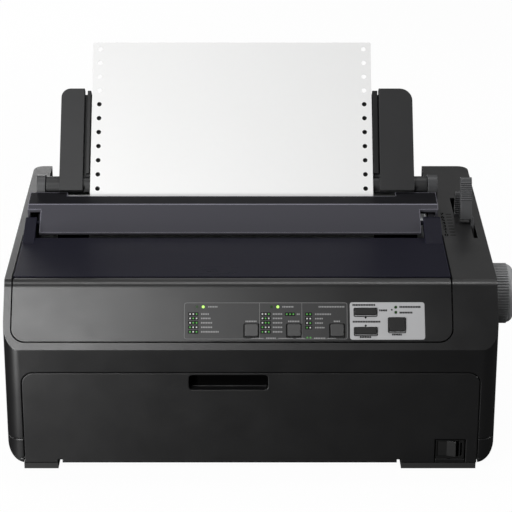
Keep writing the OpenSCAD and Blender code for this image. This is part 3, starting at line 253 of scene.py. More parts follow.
class Finish(Nodes):
    """A material while its nodes are laid."""

    def __init__(self, name):
        self.material = bpy.data.materials.new(name)
        self.material.use_nodes = True
        super().__init__(self.material.node_tree)
        self.place = self.node("ShaderNodeTexCoord").out("Object")

    def noise(self, scale, detail=2.0, rough=0.5, at=None):
        return self.node("ShaderNodeTexNoise", None,
                         {"Vector": at or self.place, "Scale": scale, "Detail": detail, "Roughness": rough})

    def stretched(self, x, y, z):
        """The place with each direction scaled, for grain and brush lines."""
        return self.node("ShaderNodeMapping", None, {"Vector": self.place, "Scale": (x, y, z)})

    def axes(self):
        """The three parts of the place."""
        x = self.node("ShaderNodeSeparateXYZ", None, {0: self.place})
        return x, x.out("Y"), x.out("Z")

    def mixed(self, kind, places, values):
        """Mix node fed at its factor, first and second socket; the fourth place is its output."""
        mix = self.node("ShaderNodeMix", {"data_type": kind}).socket.node
        self.feed(mix, dict(zip(places, values)))
        return Wire(self, mix.outputs[places[3]])

    def blend(self, factor, first, second):
        """Colour between two colours."""
        return self.mixed("RGBA", (0, 6, 7, 2), (factor, first, second))

    def between(self, factor, first, second):
        """Vector between two vectors."""
        return self.mixed("VECTOR", (0, 4, 5, 1), (factor, first, second))

    def clamped(self, value):
        return self.node("ShaderNodeClamp", None, {0: value})

    def dot(self, first, second):
        product = self.node("ShaderNodeVectorMath", {"operation": "DOT_PRODUCT"}, {0: first, 1: second})
        return product.out("Value")

    def round_edges(self, radius):
        return self.node("ShaderNodeBevel", {"samples": EDGE_SAMPLES}, {"Radius": radius})

    def true_normal(self):
        return self.node("ShaderNodeNewGeometry").out("Normal")

    def on_face(self, normal):
        """1 where the surface itself has the given normal."""
        return self.dot(self.true_normal(), normal) > SAME_FACE

    def edge_mask(self, rounded, gain):
        """Where the rounded normal leaves the true one: 0 on faces, towards 1 on edges that look up, where it
        places a painted highlight.
        """
        turned = 1.0 - self.dot(rounded, self.true_normal())
        up = self.clamped(self.dot(rounded, (0.0, 0.0, 1.0)) * UP_GAIN)
        return self.clamped(turned * gain * up)

    def rolled_shoulder(self, rounded, reach):
        """Normal that turns smoothly over the shoulder where the slope meets the deck."""
        height = self.axes()[2]
        below = (place(0.0, *DECK_START).z - height) / (reach * math.sin(SLOPE))
        turned = self.between(self.clamped(1.0 - below), SLOPE_NORMAL, DECK_NORMAL)
        turned = self.node("ShaderNodeVectorMath", {"operation": "NORMALIZE"}, {0: turned})
        either = self.clamped(self.on_face(SLOPE_NORMAL) + self.on_face(DECK_NORMAL))
        return self.between(either, rounded, turned)

    def panel_gap(self):
        """1 along a band of painted shade over the gap round the control panel, on the slope only."""
        x, _, z = self.axes()
        low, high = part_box("control_panel")
        half, corner = (high.x - low.x) / 2, PANEL_CORNER * MM
        up = (z - SLOPE_FOOT * MM) / math.sin(SLOPE)
        across = self.math("MAXIMUM", abs(x - (low.x + high.x) / 2) - (half - corner), 0.0)
        along = self.math("MAXIMUM", (PANEL_FOOT * MM + corner) - up, 0.0)
        away = self.math("POWER", across * across + along * along, 0.5) - corner
        near = abs(away - PANEL_GAP / 2 * MM) < GAP_SHADE / 2 * MM
        return near * self.on_face(SLOPE_NORMAL)

    def cover_gap(self):
        """1 along bands of painted shade over the gaps beside the see-through cover, on the deck only."""
        x, y, _ = self.axes()
        low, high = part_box("printer_cover")
        away = abs(x - (low.x + high.x) / 2) - (high.x - low.x) / 2
        near = abs(away) < GAP_SHADE * MM
        return near * (y < CASE_FRONT + COVER_REACH * MM) * self.on_face(DECK_NORMAL)

    def finger_recess(self):
        """1 inside the front cover's finger recess, which gets painted shade."""
        x, y, z = self.axes()
        middle, half, floor, depth = (value * MM for value in RECESS)
        behind = y - CASE_FRONT
        near = (behind > RECESS_LIP * MM) * (behind < depth)
        return near * (abs(x - (CASE_MIDDLE + middle)) < half) * (z > floor)

    def bumped(self, height, depth, strength=1.0, normal=None):
        sockets = {"Height": height, "Distance": depth, "Strength": strength}
        if normal is not None:
            sockets["Normal"] = normal
        return self.node("ShaderNodeBump", None, sockets)

    def finished(self, sockets, shade=None):
        """Closes the material with one Principled shader, and plain black painted shade where shade is 1."""
        shader = self.node("ShaderNodeBsdfPrincipled", None, sockets)
        if shade is not None:
            # Plain black shader that paints shade into gaps and the finger recess
            black = self.node("ShaderNodeBsdfPrincipled", None,
                              {"Base Color": grey(0.001), "Roughness": 0.8, "Specular IOR Level": 0.03})
            shader = self.node("ShaderNodeMixShader", None, {0: shade, 1: shader, 2: black})
        self.node("ShaderNodeOutputMaterial", None, {"Surface": shader})
        return self.material


def grey(value):
    return (value, value, value, 1.0)


def opaque(values):
    """A colour setting as a shader colour."""
    return tuple(values) + (1.0,)


def tone(colour, factor):
    """A colour made lighter or darker."""
    return tuple(min(1.0, c * factor) for c in colour[:3]) + (1.0,)


def moulded_plastic(name, colour, rough, grain=1500.0, depth=0.00006, edge=0.0009, shine=0.5, rub_and_highlight_strength=0.5,
                    shoulder=0.0, gain=3.0, recess=False):
    """Injection moulded plastic: fine spark texture, faint mottling, and rubbed edges that also carry a
    painted highlight where they face up.

    shoulder is how far the slope's upper edge rolls, in metres, and with it painted shade goes along the
    panel and cover gaps; recess paints black shade in the finger recess.
    """
    finish = Finish(name)
    rounded = finish.round_edges(edge)
    cloud = finish.noise(9.0, 4.0, 0.6)
    speck = finish.noise(grain, 1.0, 0.5)
    # Edges that face up turn lighter: a painted highlight, with a little rub wear in the roughness
    edge_wear_and_highlight = finish.edge_mask(rounded, gain) * rub_and_highlight_strength
    base = finish.blend(cloud, tone(colour, 0.86), tone(colour, 1.14))
    base_with_edge_highlight = finish.blend(edge_wear_and_highlight, base, tone(colour, 5.0))
    smooth = finish.noise(38.0, 3.0, 0.55) * 0.12 + (rough - 0.06)
    # Painted shade: black in the finger recess, or along the gaps round the panel and beside the cover
    shade = finish.finger_recess() if recess else None
    if shoulder:
        shade = finish.clamped(finish.panel_gap() + finish.cover_gap())
        rounded = finish.rolled_shoulder(rounded, shoulder)
    return finish.finished({
        "Base Color": base_with_edge_highlight,
        "Roughness": smooth - edge_wear_and_highlight * 0.08,
        "Specular IOR Level": shine,
        "Normal": finish.bumped(speck, depth, 0.7, rounded),
    }, shade)


def gloss_film(name, colour, rough, shine=0.5):
    """Printed polyester film, flat and a little glossy, with fine scuffs."""
    finish = Finish(name)
    scuff = finish.noise(160.0, 5.0, 0.7, finish.stretched(1.0, 0.25, 0.25))
    wide = finish.noise(14.0, 3.0)
    return finish.finished({
        "Base Color": finish.blend(wide, tone(colour, 0.93), tone(colour, 1.07)),
        "Roughness": scuff * 0.14 + rough,
        "Specular IOR Level": shine,
        "Normal": finish.bumped(finish.noise(420.0, 2.0), 0.00002, 0.4, finish.round_edges(0.0003)),
    })


def smoked_plastic(name, colour, alpha, rough, index, edge=0.0008, gain=2.5, fold=None):
    """Tinted see-through moulding with hairline scratches and a slight orange peel.

    It has painted shade behind the fold, a painted highlight line along it, and a painted highlight on edges
    that face up.
    """
    finish = Finish(name)
    rounded = finish.round_edges(edge)
    # Edges that face up turn lighter and more opaque: a painted highlight
    edge_wear_and_highlight = finish.edge_mask(rounded, gain)
    hair = finish.noise(900.0, 3.0, 0.7, finish.stretched(0.06, 1.0, 1.0))
    body = colour
    if fold is not None:
        # Painted shade behind the fold, and a painted highlight line along the fold
        behind = finish.axes()[1] - fold
        body = finish.blend(behind > 0.0, colour, tone(colour, 0.2))
        body = finish.blend(abs(behind) < RIDGE_HIGHLIGHT * MM, body, tone(colour, 5.0))
    return finish.finished({
        "Base Color": finish.blend(edge_wear_and_highlight, body, tone(colour, 4.0)),
        "Roughness": hair * 0.12 + rough,
        "Alpha": finish.noise(7.0, 2.0) * 0.04 + (alpha - 0.02) + edge_wear_and_highlight * 0.2,
        "IOR": index,
        "Normal": finish.bumped(finish.noise(60.0, 2.0), 0.00004, 0.35, rounded),
    })


def plated_steel(name, colour, rough, spangle=0.5):
    """Zinc plated sheet: soft spangle, roll lines and softened edges."""
    finish = Finish(name)
    rounded = finish.round_edges(0.0004)
    flakes = finish.node("ShaderNodeTexVoronoi", None, {"Vector": finish.place, "Scale": 130.0})
    tint = flakes.out("Distance") * spangle
    rolled = finish.noise(260.0, 3.0, 0.6, finish.stretched(0.04, 1.0, 1.0))
    return finish.finished({
        "Base Color": finish.blend(tint, tone(colour, 1.05), tone(colour, 0.82)),
        "Metallic": 1.0,
        "Roughness": rolled * 0.18 + rough,
        "Normal": finish.bumped(rolled, 0.00002, 0.5, rounded),
    })


def turned_steel(name, colour, rough, scale=700.0):
    """Ground bar with fine turning rings across its length."""
    finish = Finish(name)
    rings = finish.noise(scale, 2.0, 0.5, finish.stretched(1.0, 0.02, 0.02))
    return finish.finished({
        "Base Color": finish.blend(finish.noise(30.0, 3.0), tone(colour, 0.92), tone(colour, 1.06)),
        "Metallic": 1.0,
        "Roughness": rings * 0.2 + rough,
        "Normal": finish.bumped(rings, 0.00001, 0.5, finish.round_edges(0.0003)),
    })


def soft_rubber(name, colour, rough, grain=800.0):
    """Matt rubber with ground texture and a dusty bloom."""
    finish = Finish(name)
    bloom = finish.noise(50.0, 5.0, 0.7)
    return finish.finished({
        "Base Color": finish.blend(bloom * 0.6, colour, tone(colour, 2.0)),
        "Roughness": bloom * 0.15 + rough,
        "Specular IOR Level": 0.35,
        "Normal": finish.bumped(finish.noise(grain, 3.0), 0.00008, 0.6, finish.round_edges(0.0006)),
    })


def paper_stock(name, colour):
    """Continuous stationery: fibre mottling and faint tooth."""
    finish = Finish(name)
    fibre = finish.noise(240.0, 6.0, 0.75)
    cloud = finish.noise(11.0, 3.0)
    return finish.finished({
        "Base Color": finish.blend(fibre * 0.5 + cloud * 0.5, tone(colour, 0.97), tone(colour, 1.02)),
        "Roughness": fibre * 0.1 + 0.72,
        "Specular IOR Level": 0.3,
        "Normal": finish.bumped(fibre, 0.00004, 0.5),
    })


def circuit_board(name):
    """Solder resist over copper tracks."""
    finish = Finish(name)
    x, y, _ = finish.axes()
    rows = abs((y * 260.0).wrapped() - 0.5) < 0.16
    lanes = abs((x * 90.0).wrapped() - 0.5) < 0.3
    patch = finish.noise(24.0, 2.0) > 0.52
    track = rows * lanes * patch
    field = finish.noise(60.0, 3.0)
    base = finish.blend(field, (0.012, 0.085, 0.03, 1.0), (0.018, 0.12, 0.045, 1.0))
    return finish.finished({
        "Base Color": finish.blend(track, base, (0.05, 0.24, 0.08, 1.0)),
        "Roughness": field * 0.1 + 0.3,
        "Normal": finish.bumped(track, 0.00006, 0.6, finish.round_edges(0.0003)),
    })


def lamp_lens(name):
    """Clear green light pipes: two are lit, the others only glow faintly."""
    finish = Finish(name)
    x = finish.axes()[0]
    first, second = (abs(x - (CASE_MIDDLE + middle * MM)) < LIGHT_REACH * MM for middle in LIT_LIGHTS)
    lit = first + second
    grain = finish.noise(900.0, 2.0)
    return finish.finished({
        "Base Color": finish.blend(lit, (0.02, 0.05, 0.015, 1.0), (0.4, 0.8, 0.15, 1.0)),
        "Emission Color": finish.blend(lit, (0.004, 0.012, 0.003, 1.0), (0.5, 1.0, 0.16, 1.0)),
        "Emission Strength": 0.7,
        "Roughness": grain * 0.1 + 0.2,
        "Coat Weight": 0.3,
    })


def woven_ribbon(name):
    """Inked nylon weave."""
    finish = Finish(name)
    x, _, z = finish.axes()
    weave = abs((x * 2200.0).wrapped() - 0.5) + abs((z * 2200.0).wrapped() - 0.5)
    return finish.finished({
        "Base Color": finish.blend(weave, (0.006, 0.006, 0.008, 1.0), (0.02, 0.02, 0.024, 1.0)),
        "Roughness": weave * 0.1 + 0.7,
        "Normal": finish.bumped(weave, 0.00005, 0.6),
    })


def printed_ink(name, colour, rough=0.5, shine=0.4):
    """Screen printed ink with a slightly broken tone."""
    finish = Finish(name)
    broken = finish.noise(1500.0, 3.0)
    return finish.finished({
        "Base Color": finish.blend(broken, tone(colour, 0.9), tone(colour, 1.06)),
        "Roughness": broken * 0.15 + rough,
        "Specular IOR Level": shine,
        "Normal": finish.bumped(broken, 0.00001, 0.3),
    })


def dress(nodes, material):
    """Gives CAD nodes a finish through their own material slots."""
    for name in nodes:
        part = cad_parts[name]
        if not part.material_slots:
            part.data.materials.append(material)
        for slot in part.material_slots:
            slot.material = material


# ---------- Marks by Geometry Nodes ----------


def mark_tree(name, in_row):
    """Small plates on given points, or in a row from a start by a step."""
    tree = bpy.data.node_groups.new(name, "GeometryNodeTree")
    inputs = [("Geometry", "Geometry"), ("Plate Size", "Vector"), ("Tilt", "Vector"), ("Ink", "Material")]
    if in_row:
        inputs += [("Count", "Int"), ("Start", "Vector"), ("Step", "Vector")]
    for label, kind in inputs:
        tree.interface.new_socket(label, in_out="INPUT", socket_type="NodeSocket" + kind)
    tree.interface.new_socket("Geometry", in_out="OUTPUT", socket_type="NodeSocketGeometry")
    add = tree.nodes.new
    given, result = add("NodeGroupInput"), add("NodeGroupOutput")
    plate, stamp = add("GeometryNodeMeshCube"), add("GeometryNodeInstanceOnPoints")
    turn, real = add("FunctionNodeEulerToRotation"), add("GeometryNodeRealizeInstances")
    ink = add("GeometryNodeSetMaterial")
    links = [(given, "Plate Size", plate, "Size"), (given, "Tilt", turn, 0), (turn, 0, stamp, "Rotation"),
             (plate, "Mesh", stamp, "Instance"), (stamp, "Instances", real, "Geometry"),
             (real, "Geometry", ink, "Geometry"), (given, "Ink", ink, "Material"),
             (ink, "Geometry", result, "Geometry")]
    if in_row:
        row = add("GeometryNodeMeshLine")
        links += [(given, "Count", row, "Count"), (given, "Start", row, "Start Location"),
                  (given, "Step", row, "Offset"), (row, "Mesh", stamp, "Points")]
    else:
        links.append((given, "Geometry", stamp, "Points"))
    for source, out, target, into in links:
        tree.links.new(source.outputs[out], target.inputs[into])
    return tree


def run_tree(name, tree, points, values):
    """Evaluates a tree over some points and returns the plain mesh it makes."""
    seed = bpy.data.meshes.new(name + "_points")
    seed.from_pydata([tuple(p) for p in points], [], [])
    holder = bpy.data.objects.new(name + "_maker", seed)
    bpy.context.collection.objects.link(holder)
    modifier = holder.modifiers.new("Marks", "NODES")
    modifier.node_group = tree
    for item in tree.interface.items_tree:
        if item.item_type == "SOCKET" and item.in_out == "INPUT" and item.name in values:
            modifier[item.identifier] = values[item.name]
    graph = bpy.context.evaluated_depsgraph_get()
    mesh = bpy.data.meshes.new_from_object(holder.evaluated_get(graph))
    bpy.data.objects.remove(holder)
    return mesh


def joined(name, meshes, body):
    """One object from several plain meshes, riding on a body."""
    parts = []
    for index, mesh in enumerate(meshes):
        part = bpy.data.objects.new(name if index == 0 else name + "_part", mesh)
        bpy.context.collection.objects.link(part)
        parts.append(part)
    if len(parts) > 1:
        with bpy.context.temp_override(active_object=parts[0], object=parts[0], selected_objects=parts,
                                       selected_editable_objects=parts):
            bpy.ops.object.join()
    piece = parts[0]
    piece.name = name
    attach(piece, body)


def stamped(name, points, size, tilt, ink):
    """Mesh of equal plates, one on each point; sizes in millimetres."""
    tree = bpy.data.node_groups.get("Marks on points") or mark_tree("Marks on points", False)
    return run_tree(name, tree, points,
                    {"Plate Size": tuple(v * MM for v in size), "Tilt": tilt, "Ink": ink})


def row_of(name, count, start, step, size, tilt, ink):
    """Mesh of equal plates in a row; sizes in millimetres."""
    tree = bpy.data.node_groups.get("Marks in a row") or mark_tree("Marks in a row", True)
    return run_tree(name, tree, [(0, 0, 0)],
                    {"Plate Size": tuple(v * MM for v in size), "Tilt": tilt, "Ink": ink,
                     "Count": count, "Start": tuple(start), "Step": tuple(step)})


def round_loop(width, height, radius, steps=6):
    """Corner points of a rounded rectangle about its middle, anticlockwise."""
    points = []
    for cx, cy, first in ((1, 1, 0), (-1, 1, 90), (-1, -1, 180), (1, -1, 270)):
        for i in range(steps + 1):
            angle = math.radians(first + 90 * i / steps)
            points.append((cx * (width / 2 - radius) + radius * math.cos(angle),
                           cy * (height / 2 - radius) + radius * math.sin(angle)))
    return points


def line_frame(name, x, up, width, height, radius, line, out, thick, ink):
    """Printed frame line on the slope, or a ring of painted shade round a key: a closed ring with a little
    thickness.
    """
    outer = round_loop(width, height, radius)
    inner = round_loop(width - 2 * line, height - 2 * line, max(radius - line, 0.2))
    count = len(outer)
    points = []
    for level in (out, out + thick):
        for loop in (outer, inner):
            points += [tuple(on_slope(x + p[0], up + p[1], level)) for p in loop]
    faces = []
    for i in range(count):
        j = (i + 1) % count
        faces.append((2 * count + i, 2 * count + j, 3 * count + j, 3 * count + i))
        faces.append((i, count + i, count + j, j))
        faces.append((i, j, 2 * count + j, 2 * count + i))
        faces.append((count + i, 3 * count + i, 3 * count + j, count + j))
    mesh = bpy.data.meshes.new(name)
    mesh.from_pydata(points, [], faces)
    mesh.materials.append(ink)
    mesh.update()
    return mesh


def numeral(name, text, size, at, tilt, ink):
    """Plain digit lying on the deck, as a mesh."""
    curve = bpy.data.curves.new(name, "FONT")
    curve.body = text
    curve.size = size * MM
    curve.extrude = INK / 2 * MM
    curve.offset = NUMBER_WEIGHT * MM
    curve.align_x = "RIGHT"
    curve.align_y = "CENTER"
    curve.resolution_u = 3
    maker = bpy.data.objects.new(name + "_maker", curve)
    bpy.context.collection.objects.link(maker)
    graph = bpy.context.evaluated_depsgraph_get()
    mesh = bpy.data.meshes.new_from_object(maker.evaluated_get(graph))
    bpy.data.objects.remove(maker)
    mesh.transform(Euler(tilt).to_matrix().to_4x4())
    for vertex in mesh.vertices:
        vertex.co += at
    mesh.materials.clear()
    mesh.materials.append(ink)
    return mesh


# ---------- Settings ----------

COLOUR = {"subtype": "COLOR", "min": 0.0, "max": 1.0}
FACTOR = {"subtype": "FACTOR", "max": 1.0}
POWER = {"unit": "POWER", "min": 0.0, "max": 400.0}
LENGTH = {"unit": "LENGTH", "min": 0.1, "max": 3.0}
PLACE = {"subtype": "TRANSLATION", "unit": "LENGTH"}


class PrinterLook(PropertyGroup):
    """Colours and sizes of the printer's finishes and marks."""

    case_colour: FloatVectorProperty(
        name="Case", description="Colour of the case mouldings",
        default=(0.008, 0.008, 0.0083), **COLOUR)
    guide_colour: FloatVectorProperty(
        name="Paper guide", description="Colour of the paper guide",
        default=(0.019, 0.0193, 0.0202), **COLOUR)
    lever_colour: FloatVectorProperty(
        name="Levers", description="Colour of the levers and posts",
        default=(0.07, 0.071, 0.074), **COLOUR)
    knob_colour: FloatVectorProperty(
        name="Knob", description="Colour of the feed knob",
        default=(0.42, 0.425, 0.432), **COLOUR)
    smoke_colour: FloatVectorProperty(
        name="Smoked cover", description="Tint of the see-through cover",
        default=(0.014, 0.0137, 0.023), **COLOUR)
    hood_colour: FloatVectorProperty(
        name="Rear cover", description="Tint of the cover over the platen",
        default=(0.062, 0.0612, 0.072), **COLOUR)
    paper_colour: FloatVectorProperty(
        name="Paper", description="Colour of the paper",
        default=(0.86, 0.86, 0.855), **COLOUR)
    film_colour: FloatVectorProperty(
        name="Light film", description="Colour of the light key plate",
        default=(0.42, 0.421, 0.428), **COLOUR)
    smoke_alpha: FloatProperty(
        name="Smoke density", description="How much the see-through cover hides",
        default=0.88, min=0.2, **FACTOR)
    line_width: FloatProperty(
        name="Line width", description="Width of the printed frame line in millimetres",
        default=0.35, min=0.2, max=1.0)
    dot_side: FloatProperty(
        name="Dot side", description="Side of the printed square dots in millimetres",
        default=1.15, min=0.6, max=2.0)
    perforation_pitch: FloatProperty(
        name="Perforation pitch", description="Distance between the paper's tear slits in millimetres",
        default=2.4, min=1.5, max=4.0)


class StudioLook(PropertyGroup):
    """Lamps and backdrop of the studio."""

    key_power: FloatProperty(
        name="Key lamp", description="Power of the wide lamp at the front left", default=5.5, **POWER)
    key_width: FloatProperty(
        name="Key width", description="Width of the key lamp", default=0.5, **LENGTH)
    key_height: FloatProperty(
        name="Key height", description="Height of the key lamp", default=0.3, **LENGTH)
    key_place: FloatVectorProperty(
        name="Key place", description="Where the key lamp hangs", default=(-0.42, -0.83, 0.87), **PLACE)
    side_power: FloatProperty(
        name="Side lamp", description="Power of the low lamp at the left", default=5.2, **POWER)
    side_place: FloatVectorProperty(
        name="Side place", description="Where the low lamp stands", default=(-0.56, -0.78, 0.06), **PLACE)
    fill_power: FloatProperty(
        name="Fill lamp", description="Power of the small lamp at the right", default=5.0, **POWER)
    rear_power: FloatProperty(
        name="Rear lamp", description="Power of the lamp that lights the back", default=6.0, **POWER)
    back_power: FloatProperty(
        name="Back lamp", description="Power of the wide lamp behind", default=0.65, **POWER)
    back_place: FloatVectorProperty(
        name="Back place", description="Where the lamp behind hangs", default=(0.1, 1.1, 0.8), **PLACE)
    strip_power: FloatProperty(
        name="Strip lamp", description="Power of the long lamp overhead", default=9.4, **POWER)
    strip_place: FloatVectorProperty(
        name="Strip place", description="Where the long lamp hangs", default=(-0.05, 0.3, 1.7), **PLACE)
    floor_tone: FloatProperty(
        name="Floor tone", description="Tone of the floor as it lights the printer",
        default=0.03, min=0.0, **FACTOR)
    ambient: FloatProperty(
        name="Ambient", description="Strength of the backdrop as light", default=0.12, min=0.0, max=2.0)
    mirror: FloatProperty(
        name="Mirrored backdrop", description="Strength of the backdrop in reflections",
        default=0.035, min=0.0, max=1.0)
    floor_glow: FloatProperty(
        name="Floor glow", description="Share of plain white in the floor as the camera sees it",
        default=0.97, min=0.0, **FACTOR)


# ---------- Operators ----------


class PRINTER_OT_case(Operator):
    """Gives the case, the front cover, the panel and the feet their plastics"""

    bl_idname = "printer.case"
    bl_label = "Case mouldings"

    def execute(self, context):
        look = context.scene.printer_look
        case = opaque(look.case_colour)
        shell = {"edge": 0.0012, "shine": 0.7}
        rolled = dict(shell, shoulder=0.007, gain=8.0)
        dress(("lower_case", "upper_case"), moulded_plastic("case_plastic", case, 0.36, **rolled))
        dress(("front_cover",),
              moulded_plastic("front_cover_plastic", tone(case, 0.95), 0.42, recess=True, **shell))
        dress(("control_panel",), moulded_plastic("panel_plastic", tone(case, 0.92), 0.36, **rolled))
        dress(("feet",), soft_rubber("foot_rubber", grey(0.02), 0.7))
        return {"FINISHED"}


class PRINTER_OT_covers(Operator):
    """Gives the hinged see-through cover and the raised rear cover their smoked plastics"""

    bl_idname = "printer.covers"
    bl_label = "Smoked covers"

    def execute(self, context):
        look = context.scene.printer_look
        dress(("printer_cover",),
              smoked_plastic("smoked_cover_plastic", opaque(look.smoke_colour),
                             alpha=look.smoke_alpha, rough=0.42, index=1.18))
        dress(("rear_cover",),
              smoked_plastic("rear_cover_plastic", opaque(look.hood_colour), alpha=0.97, rough=0.45,
                             index=1.13, edge=0.0014, gain=15.0, fold=CASE_FRONT + RIDGE * MM))
        return {"FINISHED"}


class PRINTER_OT_paper(Operator):
    """Gives the paper its stock and its two rows of tear slits"""

    bl_idname = "printer.paper"
    bl_label = "Continuous paper"

    def execute(self, context):
        look = context.scene.printer_look
        dress(("paper",), paper_stock("paper_stock", opaque(look.paper_colour)))
        slit = printed_ink("slit_shade", (0.45, 0.45, 0.44, 1.0), 0.9)
        pitch = look.perforation_pitch
        count = int(SLIT_ROW / pitch)
        rows = []
        for side in (-1, 1):
            x = PAPER_MIDDLE / MM + side * (PAPER_WIDTH / 2 - TEAR_STRIP)
            start = on_paper(x, SLIT_START, -SLIT_SINK)
            step = on_paper(x, SLIT_START + pitch, -SLIT_SINK) - start
            rows.append(row_of("paper_slits", count, start, step, SLIT_SIZE, (-PAPER_LEAN, 0.0, 0.0), slit))
        joined("paper_slits", rows, "chassis")
        return {"FINISHED"}


class PRINTER_OT_paper_guide(Operator):
    """Gives the folding guide, its edge guides and its posts their plastics"""

    bl_idname = "printer.paper_guide"
    bl_label = "Paper guide"

    def execute(self, context):
        look = context.scene.printer_look
        guide = opaque(look.guide_colour)
        dress(("paper_guide",), moulded_plastic("guide_plastic", guide, 0.52))
        dress(("edge_guide_left", "edge_guide_right"),
              moulded_plastic("edge_guide_plastic", tone(guide, 0.6), 0.4))
        dress(("guide_posts",), moulded_plastic("post_plastic", tone(opaque(look.lever_colour), 0.8), 0.5))
        return {"FINISHED"}


class PRINTER_OT_levers(Operator):
    """Gives the two levers, their pins and the feed knob their finishes"""

    bl_idname = "printer.levers"
    bl_label = "Levers and knob"

    def execute(self, context):
        look = context.scene.printer_look
        lever = opaque(look.lever_colour)
        dress(("release_lever",), moulded_plastic("release_lever_plastic", lever, 0.45))
        dress(("thickness_lever",), moulded_plastic("thickness_lever_plastic", tone(lever, 0.45), 0.45))
        dress(("feed_knob",), moulded_plastic("knob_plastic", opaque(look.knob_colour), 0.45, edge=0.0005))
        dress(("lever_pins",), turned_steel("pin_steel", (0.6, 0.6, 0.62, 1.0), 0.2))
        return {"FINISHED"}


class PRINTER_OT_lever_scale(Operator):
    """Prints the tick marks and plain numbers beside the lever"""

    bl_idname = "printer.lever_scale"
    bl_label = "Lever scale"

    def execute(self, context):
        ink = printed_ink("scale_ink", grey(0.001), 0.8, 0.05)
        tilt = (DECK, 0.0, 0.0)
        start = on_deck(TICK_PLACE, SCALE_START, INK / 2)
        step = on_deck(TICK_PLACE, SCALE_START + SCALE_PITCH, INK / 2) - start
        meshes = [row_of("scale_ticks", SCALE_MARKS, start, step, TICK_SIZE + (INK,), tilt, ink)]
        for i in range(SCALE_MARKS):
            at = on_deck(NUMBER_PLACE, SCALE_START + i * SCALE_PITCH, INK / 2)
            meshes.append(numeral("scale_number", str(i), NUMBER_SIZE, at, tilt, ink))
        joined("lever_scale", meshes, "chassis")
        return {"FINISHED"}


class PRINTER_OT_key_panel(Operator):
    """Gives both films, the lights and the six keys their finishes"""

    bl_idname = "printer.key_panel"
    bl_label = "Key panel"

    def execute(self, context):
        look = context.scene.printer_look
        dress(("legend_plate",), gloss_film("legend_film", (0.0085, 0.0085, 0.009, 1.0), 0.4, 0.8))
        dress(("key_plate",), gloss_film("light_film", opaque(look.film_colour), 0.36))
        dress(("indicator_lights",), lamp_lens("lamp_lens"))
        dress(("key_left", "key_middle", "key_right"),
              moulded_plastic("dark_key_plastic", grey(0.026), 0.42, edge=0.0006, shine=0.9))
        dress(("key_load", "key_feed", "key_pause"),
              moulded_plastic("grey_key_plastic", grey(0.018), 0.5, edge=0.0006, shine=0.3))
        return {"FINISHED"}


